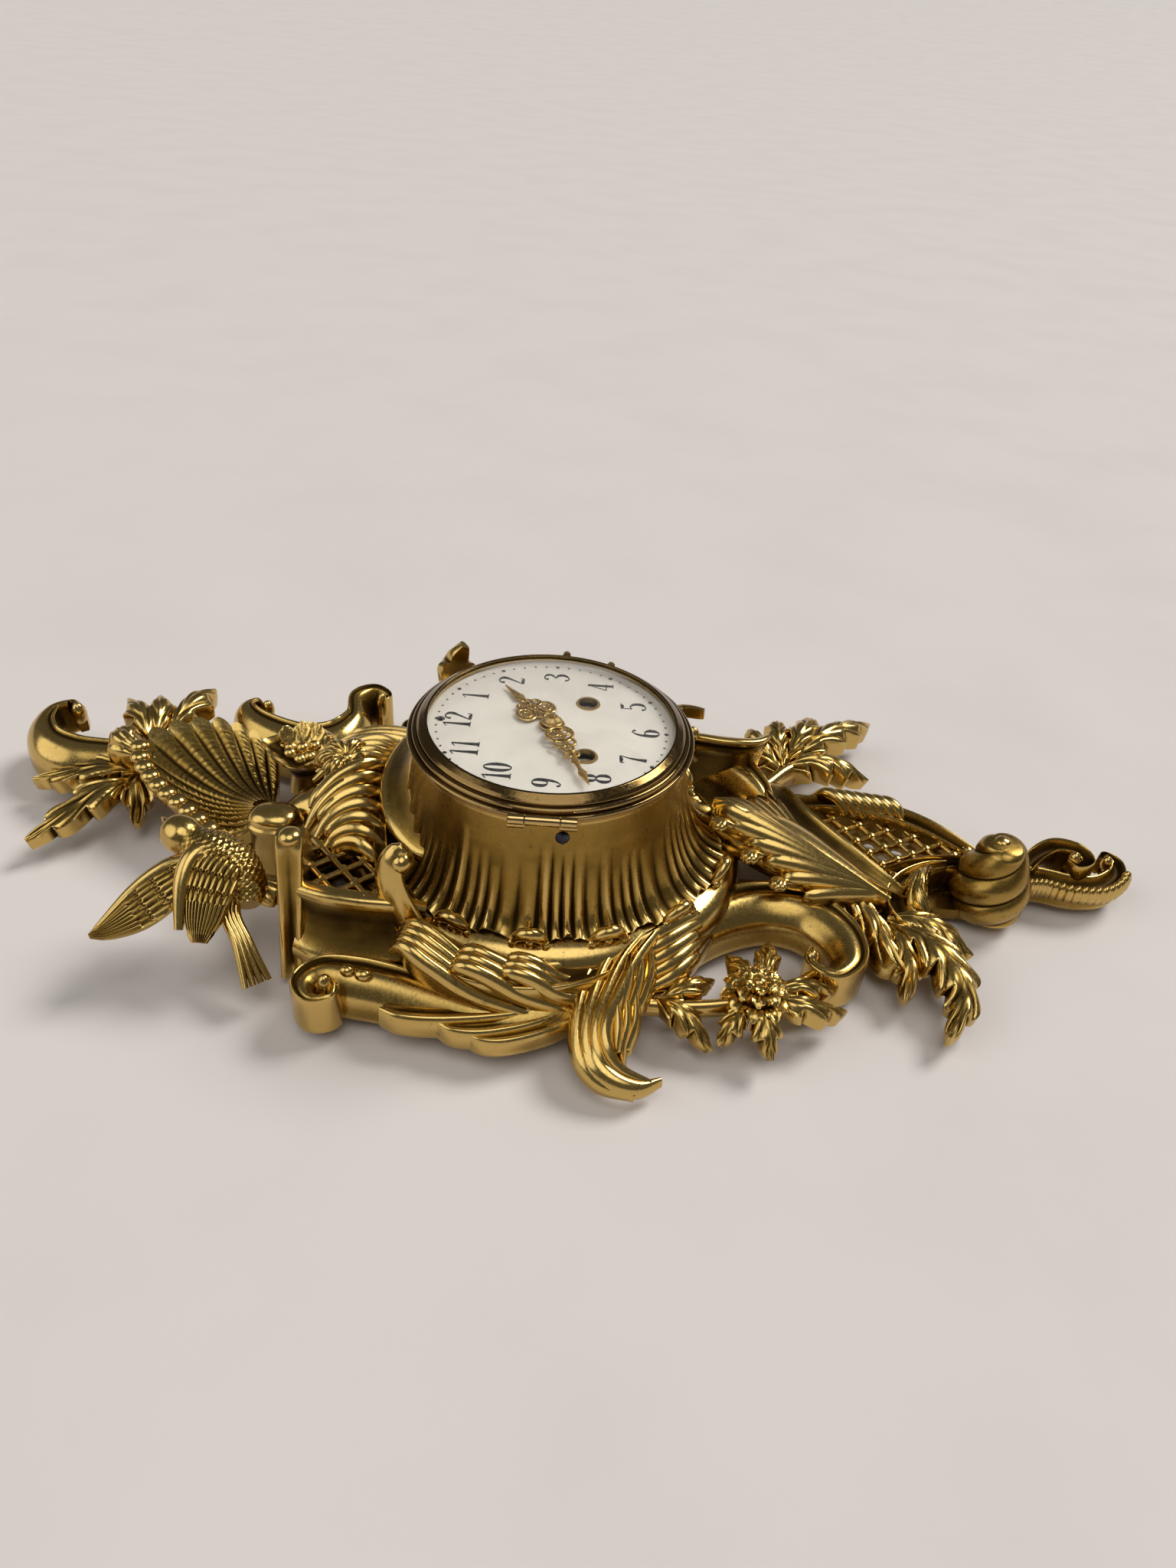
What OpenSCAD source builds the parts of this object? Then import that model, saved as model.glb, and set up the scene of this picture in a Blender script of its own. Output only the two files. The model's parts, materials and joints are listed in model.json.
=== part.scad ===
// Gilt bronze wall clock with a rococo case, lying on its back.
// Millimetres. The origin is on the dial's axis in the wall plane. +Z is the way the dial faces,
// +X runs down to 6 o'clock and +Y to 3 o'clock.

/* [Case] */
// Height of the bowl's top edge above the wall
neck_z = 79; // [76:0.5:84]
// Step from the bezel's edge in to the bowl's neck
neck_step = 2; // [1:0.25:2.5]
// Outer radius of the bowl's flared rim
rim_r = 67; // [64:0.5:74]
// Height of the flared rim above the wall
rim_z = 34; // [30:0.5:38]
// Height of the plain band below the rim
plinth_h = 14; // [8:0.5:16]
// Outer radius of the drum behind the rim
drum_r = 54; // [53:0.5:58]
// Wall of the bowl casting
case_wall = 3.5; // [2.5:0.25:4]
// Thickness of the rear cover
cover_t = 1.5; // [1:0.25:2.5]
// Height of the back of the ornament above the wall
back_gap = 4; // [3:0.5:5]
// Thickness of the bars behind the ornament
bar_t = 5; // [4:0.5:6]
// Radius of the hanging hole in the upper bar
hang_r = 4; // [3:0.25:5]

/* [Door] */
// Outer radius of the bezel
bezel_r = 54.5; // [54.25:0.25:57]
// Width of the bezel from its edge in to the opening
bezel_w = 7.7; // [7.5:0.1:8.5]
// Height of the bezel
bezel_h = 6.6; // [6.6:0.1:7.6]
// Thickness of the glass
glass_t = 2; // [1.5:0.25:2.25]
// Rise of the convex glass
glass_rise = 7; // [6.5:0.25:10]
// Length of the whole hinge
hinge_l = 24; // [20:1:28]
// Radius of the hinge knuckles
hinge_r = 1.9; // [1.7:0.1:2.1]
// Radius of the hinge pin
pin_r = 0.8; // [0.6:0.1:1]

/* [Dial] */
// Thickness of the enamel dial
dial_t = 1.6; // [1.2:0.1:2]
// How far the enamel dial runs under the bezel
dial_lap = 1.7; // [1.2:0.1:1.9]
// Distance of the winding holes below the centre
wind_x = 13.2; // [12.5:0.1:14]
// Distance of each winding hole from the middle line
wind_y = 17.8; // [17.7:0.1:18.4]
// Radius of the winding holes
wind_r = 3.6; // [3.2:0.1:4]
// Distance of the regulator arbor in from the dial's edge
regulator_in = 6.5; // [5.9:0.1:6.7]
// Distance of the hour hand's tip from the dial's edge
hour_in = 16.5; // [12.5:0.5:22.5]
// Distance of the minute hand's tip from the dial's edge
minute_in = 7.5; // [7:0.5:12.5]
// Angle of the hour hand from 12
hour_a = 51.7; // [0:0.1:360]
// Angle of the minute hand from 12
minute_a = 248.4; // [0:0.1:360]

/* [Movement] */
// Space between the movement plates and the case
plate_in = 9; // [8.5:0.25:9.5]
// Thickness of the movement plates
plate_t = 2; // [1.5:0.25:2.5]
// Clear space between the plates
plate_gap = 36; // [35:0.5:38]
// Depth of a spring barrel
barrel_h = 17; // [14:0.5:18]
// Distance of the bell's edge in from the plates' edge
bell_in = 10; // [9:0.5:14]
// Depth of the bell
bell_h = 15; // [12:0.5:15.5]
// Clearance between the pendulum bob and the drum's wall
bob_gap = 2.34; // [1.5:0.02:8]
// Radius of the pendulum bob
bob_r = 13; // [10:0.5:14]

/* [Ornament] */
// Height of the pendant boss
boss_h = 38; // [34:0.5:44]
// Height of the trellis in the upper corner
trellis_z = 42; // [38:0.5:46]
// Width of a trellis bar
trellis_bar = 2.2; // [1.8:0.1:2.8]

/* [Hidden] */
$fn = 64;

// Colours
gilt = "#c79a3e";
old_brass = "#7d5f2a";
bright_brass = "#b98f3f";
steel = "#8b8d90";
blue_steel = "#2d3340";
enamel = "#efe9dc";
clear_glass = "#dfeaf0";

// Clearances
run = 0.06;
free = 0.3;

// Radii that follow the bezel
neck_r = bezel_r - neck_step;
sight_r = bezel_r - bezel_w;
dial_r = sight_r + dial_lap;
regulator_x = dial_r - regulator_in;
hour_l = dial_r - hour_in;
minute_l = dial_r - minute_in;
inside_r = min(neck_r, drum_r) - case_wall;
plate_r = inside_r - plate_in;
bell_r = plate_r - bell_in;
// Size of the movement against the 40 mm plates that its wheels are drawn for
mv = plate_r / 40;
// Size of the ornament in plan against the 67 mm rim that it is drawn for
follow = rim_r / 67;

// Heights in the case, from the wall up
plinth_z = rim_z - plinth_h;
ring_t = 1.2;
ledge_h = 0.4;
dial_seat = neck_z + ring_t + ledge_h;
dial_z = dial_seat + dial_t;
bezel_z = neck_z + ring_t + free;
front_gap = 3;
front_z = neck_z - front_gap - plate_t;
front_top = front_z + plate_t;
back_top = front_z - plate_gap;
back_z = back_top - plate_t;

// Door
recess_top = dial_z + 0.4;
glass_seat = recess_top + 1.2;
glass_r = sight_r + 1.4;
glass_ball = (glass_r * glass_r + glass_rise * glass_rise) / (2 * glass_rise);
glass_mid = glass_seat + glass_t + glass_rise - glass_ball;
lip_z = glass_mid + sqrt(glass_ball * glass_ball - sight_r * sight_r) + 0.05;
recess_r = dial_r + 1.9;
upstand_r = recess_r - 0.4;
ring_in = plate_r - 4;
hinge_y = -(bezel_r + 0.9);
hinge_z = bezel_z + 0.9;
knuckle_l = hinge_l / 2;

// Hands, above the dial
hand_t = 0.8;
hour_z = dial_z + 0.8;
minute_z = hour_z + hand_t + 0.5;
cannon_r = 1.6;
pipe_r = 2.6;
centre_r = 1;

// Wheel work: teeth, size of tooth, arbors
barrel_n = 90;
barrel_m = 0.38 * mv;
inter_pinion_n = 12;
inter_n = 60;
inter_m = 0.36 * mv;
centre_pinion_n = 10;
train_n = 84;
centre_m = 0.25 * mv;
third_m = 0.23 * mv;
train_pinion_n = 7;
escape_n = 30;
escape_r = 7.6 * mv;
cannon_n = 12;
minute_n = 36;
motion_m = 0.45 * mv;
minute_pinion_n = 10;
hour_n = 40;
motion_d = pitch_r(cannon_n, motion_m) + pitch_r(minute_n, motion_m);
hour_m = 2 * motion_d / (minute_pinion_n + hour_n);
ratchet_n = 18;
ratchet_r = 6.5;
arbor_r = 0.8;
fine_r = 0.5;
winder_r = 2.5;
wheel_t = 1.5;

// Heights of the wheels
barrel_z = back_top + 2;
great_z = barrel_z + barrel_h;
great_t = 2.5;
inter_z = great_z + great_t + 2.5;
strike_z = inter_z + wheel_t + 1.5;
centre_z = strike_z + wheel_t + 1.5;
third_z = back_top + 8;
escape_z = back_top + 3;
motion_z = front_top + 0.8;
hour_wheel_z = motion_z + 1.4;

// Places of the arbors
going_at = mv * [wind_x, wind_y];
strike_at = mv * [wind_x, -wind_y];
inter_d = pitch_r(inter_n, inter_m) + pitch_r(centre_pinion_n, inter_m);
great_d = pitch_r(barrel_n, barrel_m) + pitch_r(inter_pinion_n, barrel_m);
inter_at = meeting(going_at, great_d, inter_d);
second_at = [inter_at[0], -inter_at[1]];
third_at = [-(pitch_r(train_n, centre_m) + pitch_r(train_pinion_n, centre_m)), 0];
escape_at = third_at - [pitch_r(train_n, third_m) + pitch_r(train_pinion_n, third_m), 0];
pallet_at = escape_at - [escape_r + 5.4, 0];
fly_d = pitch_r(inter_n, inter_m) + pitch_r(train_pinion_n, inter_m);
fly_a = 215;
fly_at = second_at + fly_d * [cos(fly_a), sin(fly_a)];
minute_wheel_a = 240;
minute_wheel_at = motion_d * [cos(minute_wheel_a), sin(minute_wheel_a)];
hammer_at = (bell_r + 7.2) * [cos(36.25), -sin(36.25)];
stand_at = [0, plate_r - 2.5];

// Turning positions at which the teeth are in mesh
inter_phase = in_mesh(going_at, inter_at, 0, barrel_n, inter_pinion_n);
centre_phase = in_mesh(inter_at, [0, 0], inter_phase, inter_n, centre_pinion_n);
third_phase = in_mesh([0, 0], third_at, centre_phase, train_n, train_pinion_n);
escape_phase = in_mesh(third_at, escape_at, third_phase, train_n, train_pinion_n);
second_phase = in_mesh(strike_at, second_at, 0, barrel_n, inter_pinion_n);
fly_phase = in_mesh(second_at, fly_at, second_phase, inter_n, train_pinion_n);
minute_phase = in_mesh([0, 0], minute_wheel_at, 0, cannon_n, minute_n);
hour_phase = in_mesh(minute_wheel_at, [0, 0], minute_phase, minute_pinion_n, hour_n);

// Rear work
pendulum_z = back_z - 10.5;
cock_z = back_z - 8;
bell_z = back_gap + 1;
pendulum_l = drum_r - case_wall - bob_gap - bob_r - pallet_at[0];
hammer_z = bell_z + bell_h - 3;

// Pitch radius of a wheel
function pitch_r(n, m) = n * m / 2;

// The point at distance d from p and e from the origin, to the left of the way from the origin to p
function meeting(p, d, e) =
    let (l = norm(p), a = (e * e - d * d + l * l) / (2 * l), h = sqrt(e * e - a * a), u = p / l)
    a * u + h * [-u[1], u[0]];

// Turning position of wheel b that meshes with wheel a
function in_mesh(pa, pb, phase, na, nb) =
    let (v = pb - pa, way = atan2(v[1], v[0]))
    way + 180 - (0.5 - (way - phase) * na / 360) * 360 / nb;

// Smooth curve through a route's points. Each point is x, y, z, half width, half height.
function between(a, b, c, d, t) =
    b + 0.5 * t * (c - a + t * (2 * a - 5 * b + 4 * c - d + t * (3 * b - a - 3 * c + d)));
function smooth(route, n) = [
    for (i = [0:len(route) - 2], k = [0:n - 1])
        between(route[max(i - 1, 0)], route[i], route[i + 1], route[min(i + 2, len(route) - 1)], k / n),
    route[len(route) - 1]
];
function place(p) = [p[0], p[1], p[2]];
function unit(v) = v / norm(v);
function heading(s, i) = unit(place(s[min(i + 1, len(s) - 1)]) - place(s[max(i - 1, 0)]));

// Cross sections as half widths and half heights: cove between two beads, leaf with a ridge, swelling wall
cove = [[-1, -1], [1, -1], [1, 0.5], [0.8, 1], [0.45, 0.5], [-0.45, 0.5], [-0.8, 1], [-1, 0.5]];
ridge = [[-1, -0.3], [-0.5, -1], [0.5, -1], [1, -0.3], [0.45, 0.4], [0, 1], [-0.45, 0.4]];
swell = [[-1, -1], [0.6, -1], [1, -0.5], [1, 0.2], [0.7, 0.8], [0.4, 1], [-1, 1]];
oval = [for (a = [0:45:315]) [cos(a), sin(a)]];

// A section carried along a route. up is the side that the section's top faces.
module sweep(route, section, n = 4, up = [0, 0, 1]) {
    s = smooth(route, n);
    m = len(section);
    last = len(s) - 1;
    points = [
        for (i = [0:last])
            let (t = heading(s, i), l = unit(cross(up, t)), u = cross(t, l))
            for (q = section) place(s[i]) + l * q[0] * s[i][3] + u * q[1] * s[i][4]
    ];
    sides = [
        for (i = [0:last - 1], j = [0:m - 1])
            let (a = i * m + j, b = i * m + (j + 1) % m)
            for (f = [[a, b + m, b], [a, a + m, b + m]]) f
    ];
    ends = [[for (j = [0:m - 1]) j], [for (j = [m - 1:-1:0]) last * m + j]];
    polyhedron(points, concat(sides, ends), convexity = 8);
}

// A sheet through rows of top points, thick deep
module sheet(rows, thick) {
    n = len(rows);
    m = len(rows[0]);
    tops = [for (row = rows, p = row) p];
    points = concat(tops, [for (p = tops) p - [0, 0, thick]]);
    d = n * m;
    over = [
        for (i = [0:n - 2], j = [0:m - 2])
            let (a = i * m + j)
            for (f = [[a, a + 1, a + m + 1], [a, a + m + 1, a + m]]) f
    ];
    under = [for (f = over) [f[2] + d, f[1] + d, f[0] + d]];
    rim = concat(
        [for (j = [0:m - 1]) j],
        [for (i = [1:n - 1]) i * m + m - 1],
        [for (j = [m - 2:-1:0]) (n - 1) * m + j],
        [for (i = [n - 2:-1:1]) i * m]
    );
    walls = [
        for (k = [0:len(rim) - 1])
            let (a = rim[k], b = rim[(k + 1) % len(rim)])
            for (f = [[a, a + d, b + d], [a, b + d, b]]) f
    ];
    polyhedron(points, concat(over, under, walls), convexity = 8);
}

// Outline of a toothed wheel: straight-sided teeth, thinner on a pinion
module teeth(n, m, tip, foot, add, ded) {
    root_r = pitch_r(n, m) - ded * m;
    tip_r = pitch_r(n, m) + add * m;
    tooth = [[root_r, -foot], [tip_r, -tip], [tip_r, tip], [root_r, foot]];
    polygon([
        for (i = [0:n - 1], q = tooth)
            let (a = 360 / n * (i + q[1] / 2))
            q[0] * [cos(a), sin(a)]
    ]);
}
module wheel(n, m, t) linear_extrude(t) teeth(n, m, 0.18, 0.56, 0.95, 1.25);
module pinion(n, m, t) linear_extrude(t) teeth(n, m, 0.16, 0.44, 0.7, 1.45);

// Round bar, and a wheel with crossings cut out between rim and hub
module bar(r, z0, z1) translate([0, 0, z0]) cylinder(r = r, h = z1 - z0);
module crossed(n, m, t, hub, spokes) {
    rim = pitch_r(n, m) - 3 * m - 0.6;
    spoke = 1.6;
    middle = (rim + hub) / 2;
    hole_r = min((rim - hub) / 2 - 0.2, middle * sin(180 / spokes) - spoke / 2);
    difference() {
        wheel(n, m, t);
        for (k = [0:spokes - 1])
            rotate(360 / spokes * (k + 0.5)) translate([middle, 0, -1]) cylinder(r = hole_r, h = t + 2);
    }
}
module at(p) translate([p[0], p[1], 0]) children();

// Case

module bowl_outline(wall) {
    flare = [
        for (t = [0:7.5:90])
            [neck_r - wall + (rim_r - neck_r) * (1 - cos(t)), neck_z - (neck_z - rim_z) * sin(t)]
    ];
    foot = wall > 0 ? plinth_z + wall : plinth_z;
    polygon(concat(
        [[0, neck_z + (wall > 0 ? 1 : 0)]],
        wall > 0 ? [[neck_r - wall, neck_z + 1]] : [],
        flare,
        [[rim_r - 1 - wall, foot], [drum_r - wall, foot], [drum_r - wall, wall > 0 ? 0 : cover_t]],
        [[0, wall > 0 ? 0 : cover_t]]
    ));
}
module case_bowl() color(gilt) rotate_extrude($fn = 96) difference() {
    bowl_outline(0);
    bowl_outline(case_wall);
}

// Two flat bars let into the drum's wall, up and down the back of the ornament
bar_let = 1;
upper_bar_w = 16;
lower_bar_w = 10;
module back_bar(reach, width) {
    root = drum_r - bar_let;
    translate([root, -width / 2, back_gap]) cube([reach - root, width, bar_t]);
    translate([reach, 0, back_gap]) cylinder(r = width / 2, h = bar_t);
}
upper_bar = follow * 137;
lower_bar = follow * 188;
hang_x = follow * 133;
module back_bars() color(gilt) {
    rotate(180) difference() {
        back_bar(upper_bar, upper_bar_w);
        translate([hang_x, 0, back_gap - 1]) cylinder(r = hang_r, h = bar_t + 2);
    }
    back_bar(lower_bar, lower_bar_w);
}

screw_r = 1.5;
cover_screw_a = [45, 135, 225, 315];
cover_screw_r = drum_r - case_wall / 2;
module rear_cover() color(old_brass) difference() {
    cylinder(r = drum_r, h = cover_t);
    for (a = cover_screw_a)
        rotate(a) translate([cover_screw_r, 0, -1]) cylinder(r = screw_r, h = cover_t + 2);
    for (ring = [18, 27], a = [0:30:330])
        rotate(a) translate([ring, 0, -1]) cylinder(r = 2.2, h = cover_t + 2);
}

module case_screws() color(blue_steel) for (a = cover_screw_a)
    rotate(a) translate([cover_screw_r, 0, 0.1]) cylinder(r = screw_r, h = cover_t - 0.1);

module case_ring() color(old_brass) difference() {
    rotate_extrude($fn = 96) polygon([
        [ring_in, neck_z], [bezel_r - 0.7, neck_z], [bezel_r - 0.7, neck_z + ring_t],
        [upstand_r, neck_z + ring_t], [upstand_r, dial_z - 0.3], [dial_r + 0.1, dial_z - 0.3],
        [dial_r + 0.1, dial_seat], [dial_r - 4.5, dial_seat], [dial_r - 4.5, neck_z + ring_t],
        [ring_in, neck_z + ring_t]
    ]);
    at([-regulator_x, 0]) bar(arbor_r + run, neck_z - 1, dial_z);
}

// Dial and hands

collar_wall = 0.6;
module dial() color(enamel) difference() {
    translate([0, 0, dial_seat]) cylinder(r = dial_r, h = dial_t, $fn = 96);
    bar(pipe_r + 1.2, dial_seat - 1, dial_z + 1);
    for (p = [going_at, strike_at]) at(p) bar(wind_r + collar_wall, dial_seat - 1, dial_z + 1);
    at([-regulator_x, 0]) bar(arbor_r + 0.9, dial_seat - 1, dial_z + 1);
}

module winding_collars() color(bright_brass) for (p = [going_at, strike_at]) at(p)
    rotate_extrude() polygon([
        [wind_r, dial_seat], [wind_r + collar_wall, dial_seat], [wind_r + collar_wall, dial_z],
        [wind_r + 1.2, dial_z], [wind_r + 0.9, dial_z + 0.4], [wind_r, dial_z + 0.4]
    ]);

// A pierced hand along +X: hub, two open rings joined by leaf scrolls, and a blade
module hand_outline(length, hub, blade) {
    first = hub + 0.14 * length;
    second = hub + 0.36 * length;
    difference() {
        union() {
            circle(hub);
            translate([hub - 0.6, -0.8]) square([0.5 * length, 1.6]);
            translate([first, 0]) circle(0.1 * length);
            translate([second, 0]) circle(0.085 * length);
            for (s = [-1, 1]) translate([(first + second) / 2, s * 0.06 * length]) circle(0.055 * length);
            polygon([
                [second, -blade / 2], [0.72 * length, -blade], [0.84 * length, -blade / 2], [length, 0],
                [0.84 * length, blade / 2], [0.72 * length, blade], [second, blade / 2]
            ]);
        }
        translate([first, 0]) circle(0.06 * length);
        translate([second, 0]) circle(0.05 * length);
    }
}
module hour_hand() color(bright_brass) rotate(180 - hour_a) translate([0, 0, hour_z]) difference() {
    linear_extrude(hand_t) hand_outline(hour_l, pipe_r + 1.4, 2);
    translate([0, 0, -1]) cylinder(r = pipe_r, h = hand_t + 2);
}
module minute_hand() color(bright_brass) rotate(180 - minute_a) translate([0, 0, minute_z]) difference() {
    linear_extrude(hand_t) hand_outline(minute_l, cannon_r + 1.6, 1.6);
    translate([0, 0, -1]) cylinder(r = cannon_r, h = hand_t + 2);
}
collet_h = 1.8;
module hand_collet() color(bright_brass) translate([0, 0, minute_z + hand_t]) rotate_extrude() polygon([
    [0, 0], [cannon_r + 1.8, 0], [cannon_r + 1.5, 0.7], [cannon_r + 0.4, collet_h],
    [centre_r, collet_h], [centre_r, collet_h + 1.2], [0, collet_h + 1.2]
]);

// Door

module bezel_outline() polygon([
    [recess_r, bezel_z], [bezel_r, bezel_z], [bezel_r, bezel_z + 1.3], [bezel_r - 1.2, bezel_z + 1.8],
    [bezel_r - 1.8, bezel_z + 1.8], [bezel_r - 1.8, bezel_z + 3], [bezel_r - 3.2, bezel_z + 4],
    [bezel_r - 3.8, bezel_z + 4], [bezel_r - 4.8, bezel_z + 5.2], [sight_r + 0.8, bezel_z + bezel_h],
    [sight_r, bezel_z + bezel_h], [sight_r, lip_z], [glass_r + 0.1, lip_z],
    [glass_r + 0.1, recess_top], [recess_r, recess_top]
]);
module along_hinge(r, x0, x1)
    translate([x0, hinge_y, hinge_z]) rotate([0, 90, 0]) cylinder(r = r, h = x1 - x0);
module bezel_door() color(old_brass) difference() {
    union() {
        rotate_extrude($fn = 96) bezel_outline();
        along_hinge(hinge_r, -knuckle_l / 2, knuckle_l / 2);
    }
    along_hinge(pin_r + run, -hinge_l, hinge_l);
    for (s = [-1, 1])
        along_hinge(hinge_r + 0.4, s * (hinge_l / 2 + 0.4) - (s > 0 ? knuckle_l / 2 + 0.4 : 0),
            s * (hinge_l / 2 + 0.4) + (s > 0 ? 0 : knuckle_l / 2 + 0.4));
}

module glass() color(clear_glass, 0.35) difference() {
    intersection() {
        translate([0, 0, glass_mid]) sphere(glass_ball, $fn = 128);
        bar(glass_r, glass_seat, glass_seat + glass_t + glass_rise + 1);
    }
    translate([0, 0, glass_mid - glass_t]) sphere(glass_ball, $fn = 128);
}

module glass_ring() color(bright_brass) rotate_extrude($fn = 96) polygon([
    [sight_r, recess_top + 0.2], [glass_r + 0.1, recess_top + 0.2],
    [glass_r + 0.1, glass_seat], [sight_r, glass_seat]
]);

leaf_h = 2.4;
leaf_in = 3;
module hinge_leaf() color(old_brass) difference() {
    for (s = [-1, 1]) {
        x0 = s > 0 ? knuckle_l / 2 + 0.15 : -hinge_l / 2;
        along = hinge_l / 2 - knuckle_l / 2 - 0.15;
        along_hinge(hinge_r, x0, x0 + along);
        translate([x0, hinge_y - hinge_r, neck_z - leaf_h])
            cube([along, hinge_r + 0.7, hinge_z - neck_z + leaf_h]);
        translate([x0, hinge_y - hinge_r, neck_z - leaf_h])
            cube([along, hinge_r - hinge_y - neck_r + leaf_in, leaf_h]);
    }
    along_hinge(pin_r, -hinge_l, hinge_l);
}
module hinge_pin() color(steel) along_hinge(pin_r, -hinge_l / 2, hinge_l / 2);

// Motion work behind the dial

module cannon_pinion() color(steel) difference() {
    union() {
        translate([0, 0, motion_z - 0.2]) pinion(cannon_n, motion_m, 1.4);
        bar(cannon_r, motion_z, minute_z + hand_t);
    }
    bar(centre_r + run, motion_z - 1, minute_z - 0.2);
}
module minute_wheel() color(bright_brass) at(minute_wheel_at) rotate(minute_phase) difference() {
    union() {
        translate([0, 0, motion_z]) wheel(minute_n, motion_m, 1);
        translate([0, 0, motion_z + 1]) pinion(minute_pinion_n, hour_m, 1.8);
    }
    bar(arbor_r + run, motion_z - 1, motion_z + 5);
}
module hour_wheel() color(bright_brass) rotate(hour_phase) difference() {
    union() {
        translate([0, 0, hour_wheel_z]) wheel(hour_n, hour_m, 1.2);
        bar(pipe_r, hour_wheel_z, hour_z + hand_t);
    }
    bar(cannon_r + run, hour_wheel_z - 1, hour_z + 5);
}

// Plates and what ties them together

pillar_a = [20, 150, 210, 340];
pillar_at = plate_r - 4;
straps_a = [35, 145, 215, 325];
module plate_holes(z0, z1) {
    at(inter_at) bar(arbor_r + run, z0, z1);
    at(second_at) bar(arbor_r + run, z0, z1);
    at(third_at) bar(fine_r + run, z0, z1);
    at(escape_at) bar(fine_r + run, z0, z1);
    at(pallet_at) bar(arbor_r + run, z0, z1);
    at(fly_at) bar(fine_r + run, z0, z1);
    bar(centre_r + run, z0, z1);
    for (p = [going_at, strike_at]) at(p) bar(winder_r + run, z0, z1);
}
click_pivot = ratchet_r + 4.2;
click_out = 35;
click_at = going_at + click_pivot * [cos(click_out), sin(click_out)];
module front_plate() color(bright_brass) {
    difference() {
        translate([0, 0, front_z]) cylinder(r = plate_r, h = plate_t);
        plate_holes(front_z - 1, front_top + 1);
    }
    at(minute_wheel_at) bar(arbor_r, front_top - 0.5, motion_z + 3);
    for (s = [-1, 1]) at([click_at[0], s * click_at[1]]) bar(arbor_r, front_top - 0.5, front_top + 2);
}
module back_plate() color(bright_brass) {
    difference() {
        translate([0, 0, back_z]) cylinder(r = plate_r, h = plate_t);
        plate_holes(back_z - 1, back_top + 1);
    }
    at(hammer_at) bar(1, hammer_z - 2, back_z + 0.5);
}
module pillars() color(bright_brass) for (a = pillar_a) rotate(a) translate([pillar_at, 0, 0]) {
    bar(2.2, back_top, front_z);
    translate([pillar_at > ring_in ? 2 : 0, 0, 0]) bar(1.6, front_top, neck_z);
}
strap_t = 1.6;
strap_in = inside_r - 4.2 - strap_t;
module movement_straps() color(steel) for (a = straps_a) rotate(a) {
    translate([strap_in, -4, cover_t]) cube([strap_t, 8, neck_z - cover_t]);
}

// Spring barrels and winding

module spring_barrel(p) color(bright_brass) at(p) difference() {
    union() {
        bar(pitch_r(barrel_n, barrel_m) - 1.2, barrel_z, great_z);
        translate([0, 0, great_z]) wheel(barrel_n, barrel_m, great_t);
    }
    bar(winder_r + run, barrel_z - 1, great_z + great_t + 1);
    difference() {
        bar(pitch_r(barrel_n, barrel_m) - 2.4, barrel_z + 1, great_z - 0.5);
        bar(winder_r + 2.5, barrel_z, great_z);
    }
}
key_w = 3.8;
key_deep = 2.4;
ratchet_z = front_top + 0.3;
ratchet_t = 1.3;
// Angle of the tooth that the click holds, and of the click's beak off the line to the arbor
held_a = 67;
beak_a = 28;
module going_winder() color(steel) at(going_at) {
    bar(winder_r, back_z, ratchet_z + ratchet_t);
    translate([-key_w / 2, -key_w / 2, ratchet_z + 1])
        cube([key_w, key_w, dial_z - key_deep - ratchet_z - 1]);
    translate([0, 0, ratchet_z]) linear_extrude(ratchet_t) polygon([
        for (i = [0:ratchet_n - 1], q = [[ratchet_r - 1.4, 0.05], [ratchet_r, 0]])
            let (a = held_a + 360 / ratchet_n * (i + q[1]))
            q[0] * [cos(a), sin(a)]
    ]);
}
module going_click() color(steel) at(click_at) difference() {
    translate([0, 0, ratchet_z]) linear_extrude(ratchet_t) {
        circle(1.9);
        rotate(180 + click_out - beak_a) polygon([[0, -1.5], [5.2, -0.9], [6, -0.1], [6, 0.3], [0, 1.4]]);
    }
    bar(arbor_r + run, front_top - 1, front_top + 4);
}
// The strike side mirrors the going side
module strike_winder() color(steel) mirror([0, 1, 0]) going_winder();
module strike_click() color(steel) mirror([0, 1, 0]) going_click();
module going_barrel() spring_barrel(going_at);
module strike_barrel() spring_barrel(strike_at);

// Going train

module intermediate_wheel() color(bright_brass) at(inter_at) rotate(inter_phase) {
    bar(arbor_r, back_z, front_top);
    translate([0, 0, great_z - 0.4]) pinion(inter_pinion_n, barrel_m, great_t + 1);
    translate([0, 0, inter_z]) crossed(inter_n, inter_m, wheel_t, 3.4, 5);
}
module centre_wheel() color(bright_brass) rotate(centre_phase) {
    bar(centre_r, back_z, minute_z - 0.5);
    translate([0, 0, inter_z - 0.6]) pinion(centre_pinion_n, inter_m, wheel_t + 1);
    translate([0, 0, centre_z]) crossed(train_n, centre_m, wheel_t, 3.4, 5);
}
module third_wheel() color(bright_brass) at(third_at) rotate(third_phase) {
    bar(fine_r, back_z, front_top);
    translate([0, 0, centre_z - 0.5]) pinion(train_pinion_n, centre_m, wheel_t + 1);
    translate([0, 0, third_z]) crossed(train_n, third_m, 1.2, 3, 5);
}
module escape_wheel() color(bright_brass) at(escape_at) rotate(escape_phase) {
    bar(fine_r, back_z, front_top);
    translate([0, 0, third_z - 0.5]) pinion(train_pinion_n, third_m, 2.2);
    translate([0, 0, escape_z]) linear_extrude(1.2) polygon([
        for (i = [0:escape_n - 1], q = [[escape_r - 1.3, -0.3], [escape_r, 0.1], [escape_r - 1.3, 0.12]])
            let (a = 360 / escape_n * (i + q[1])) q[0] * [cos(a), sin(a)]
    ]);
}

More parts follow.
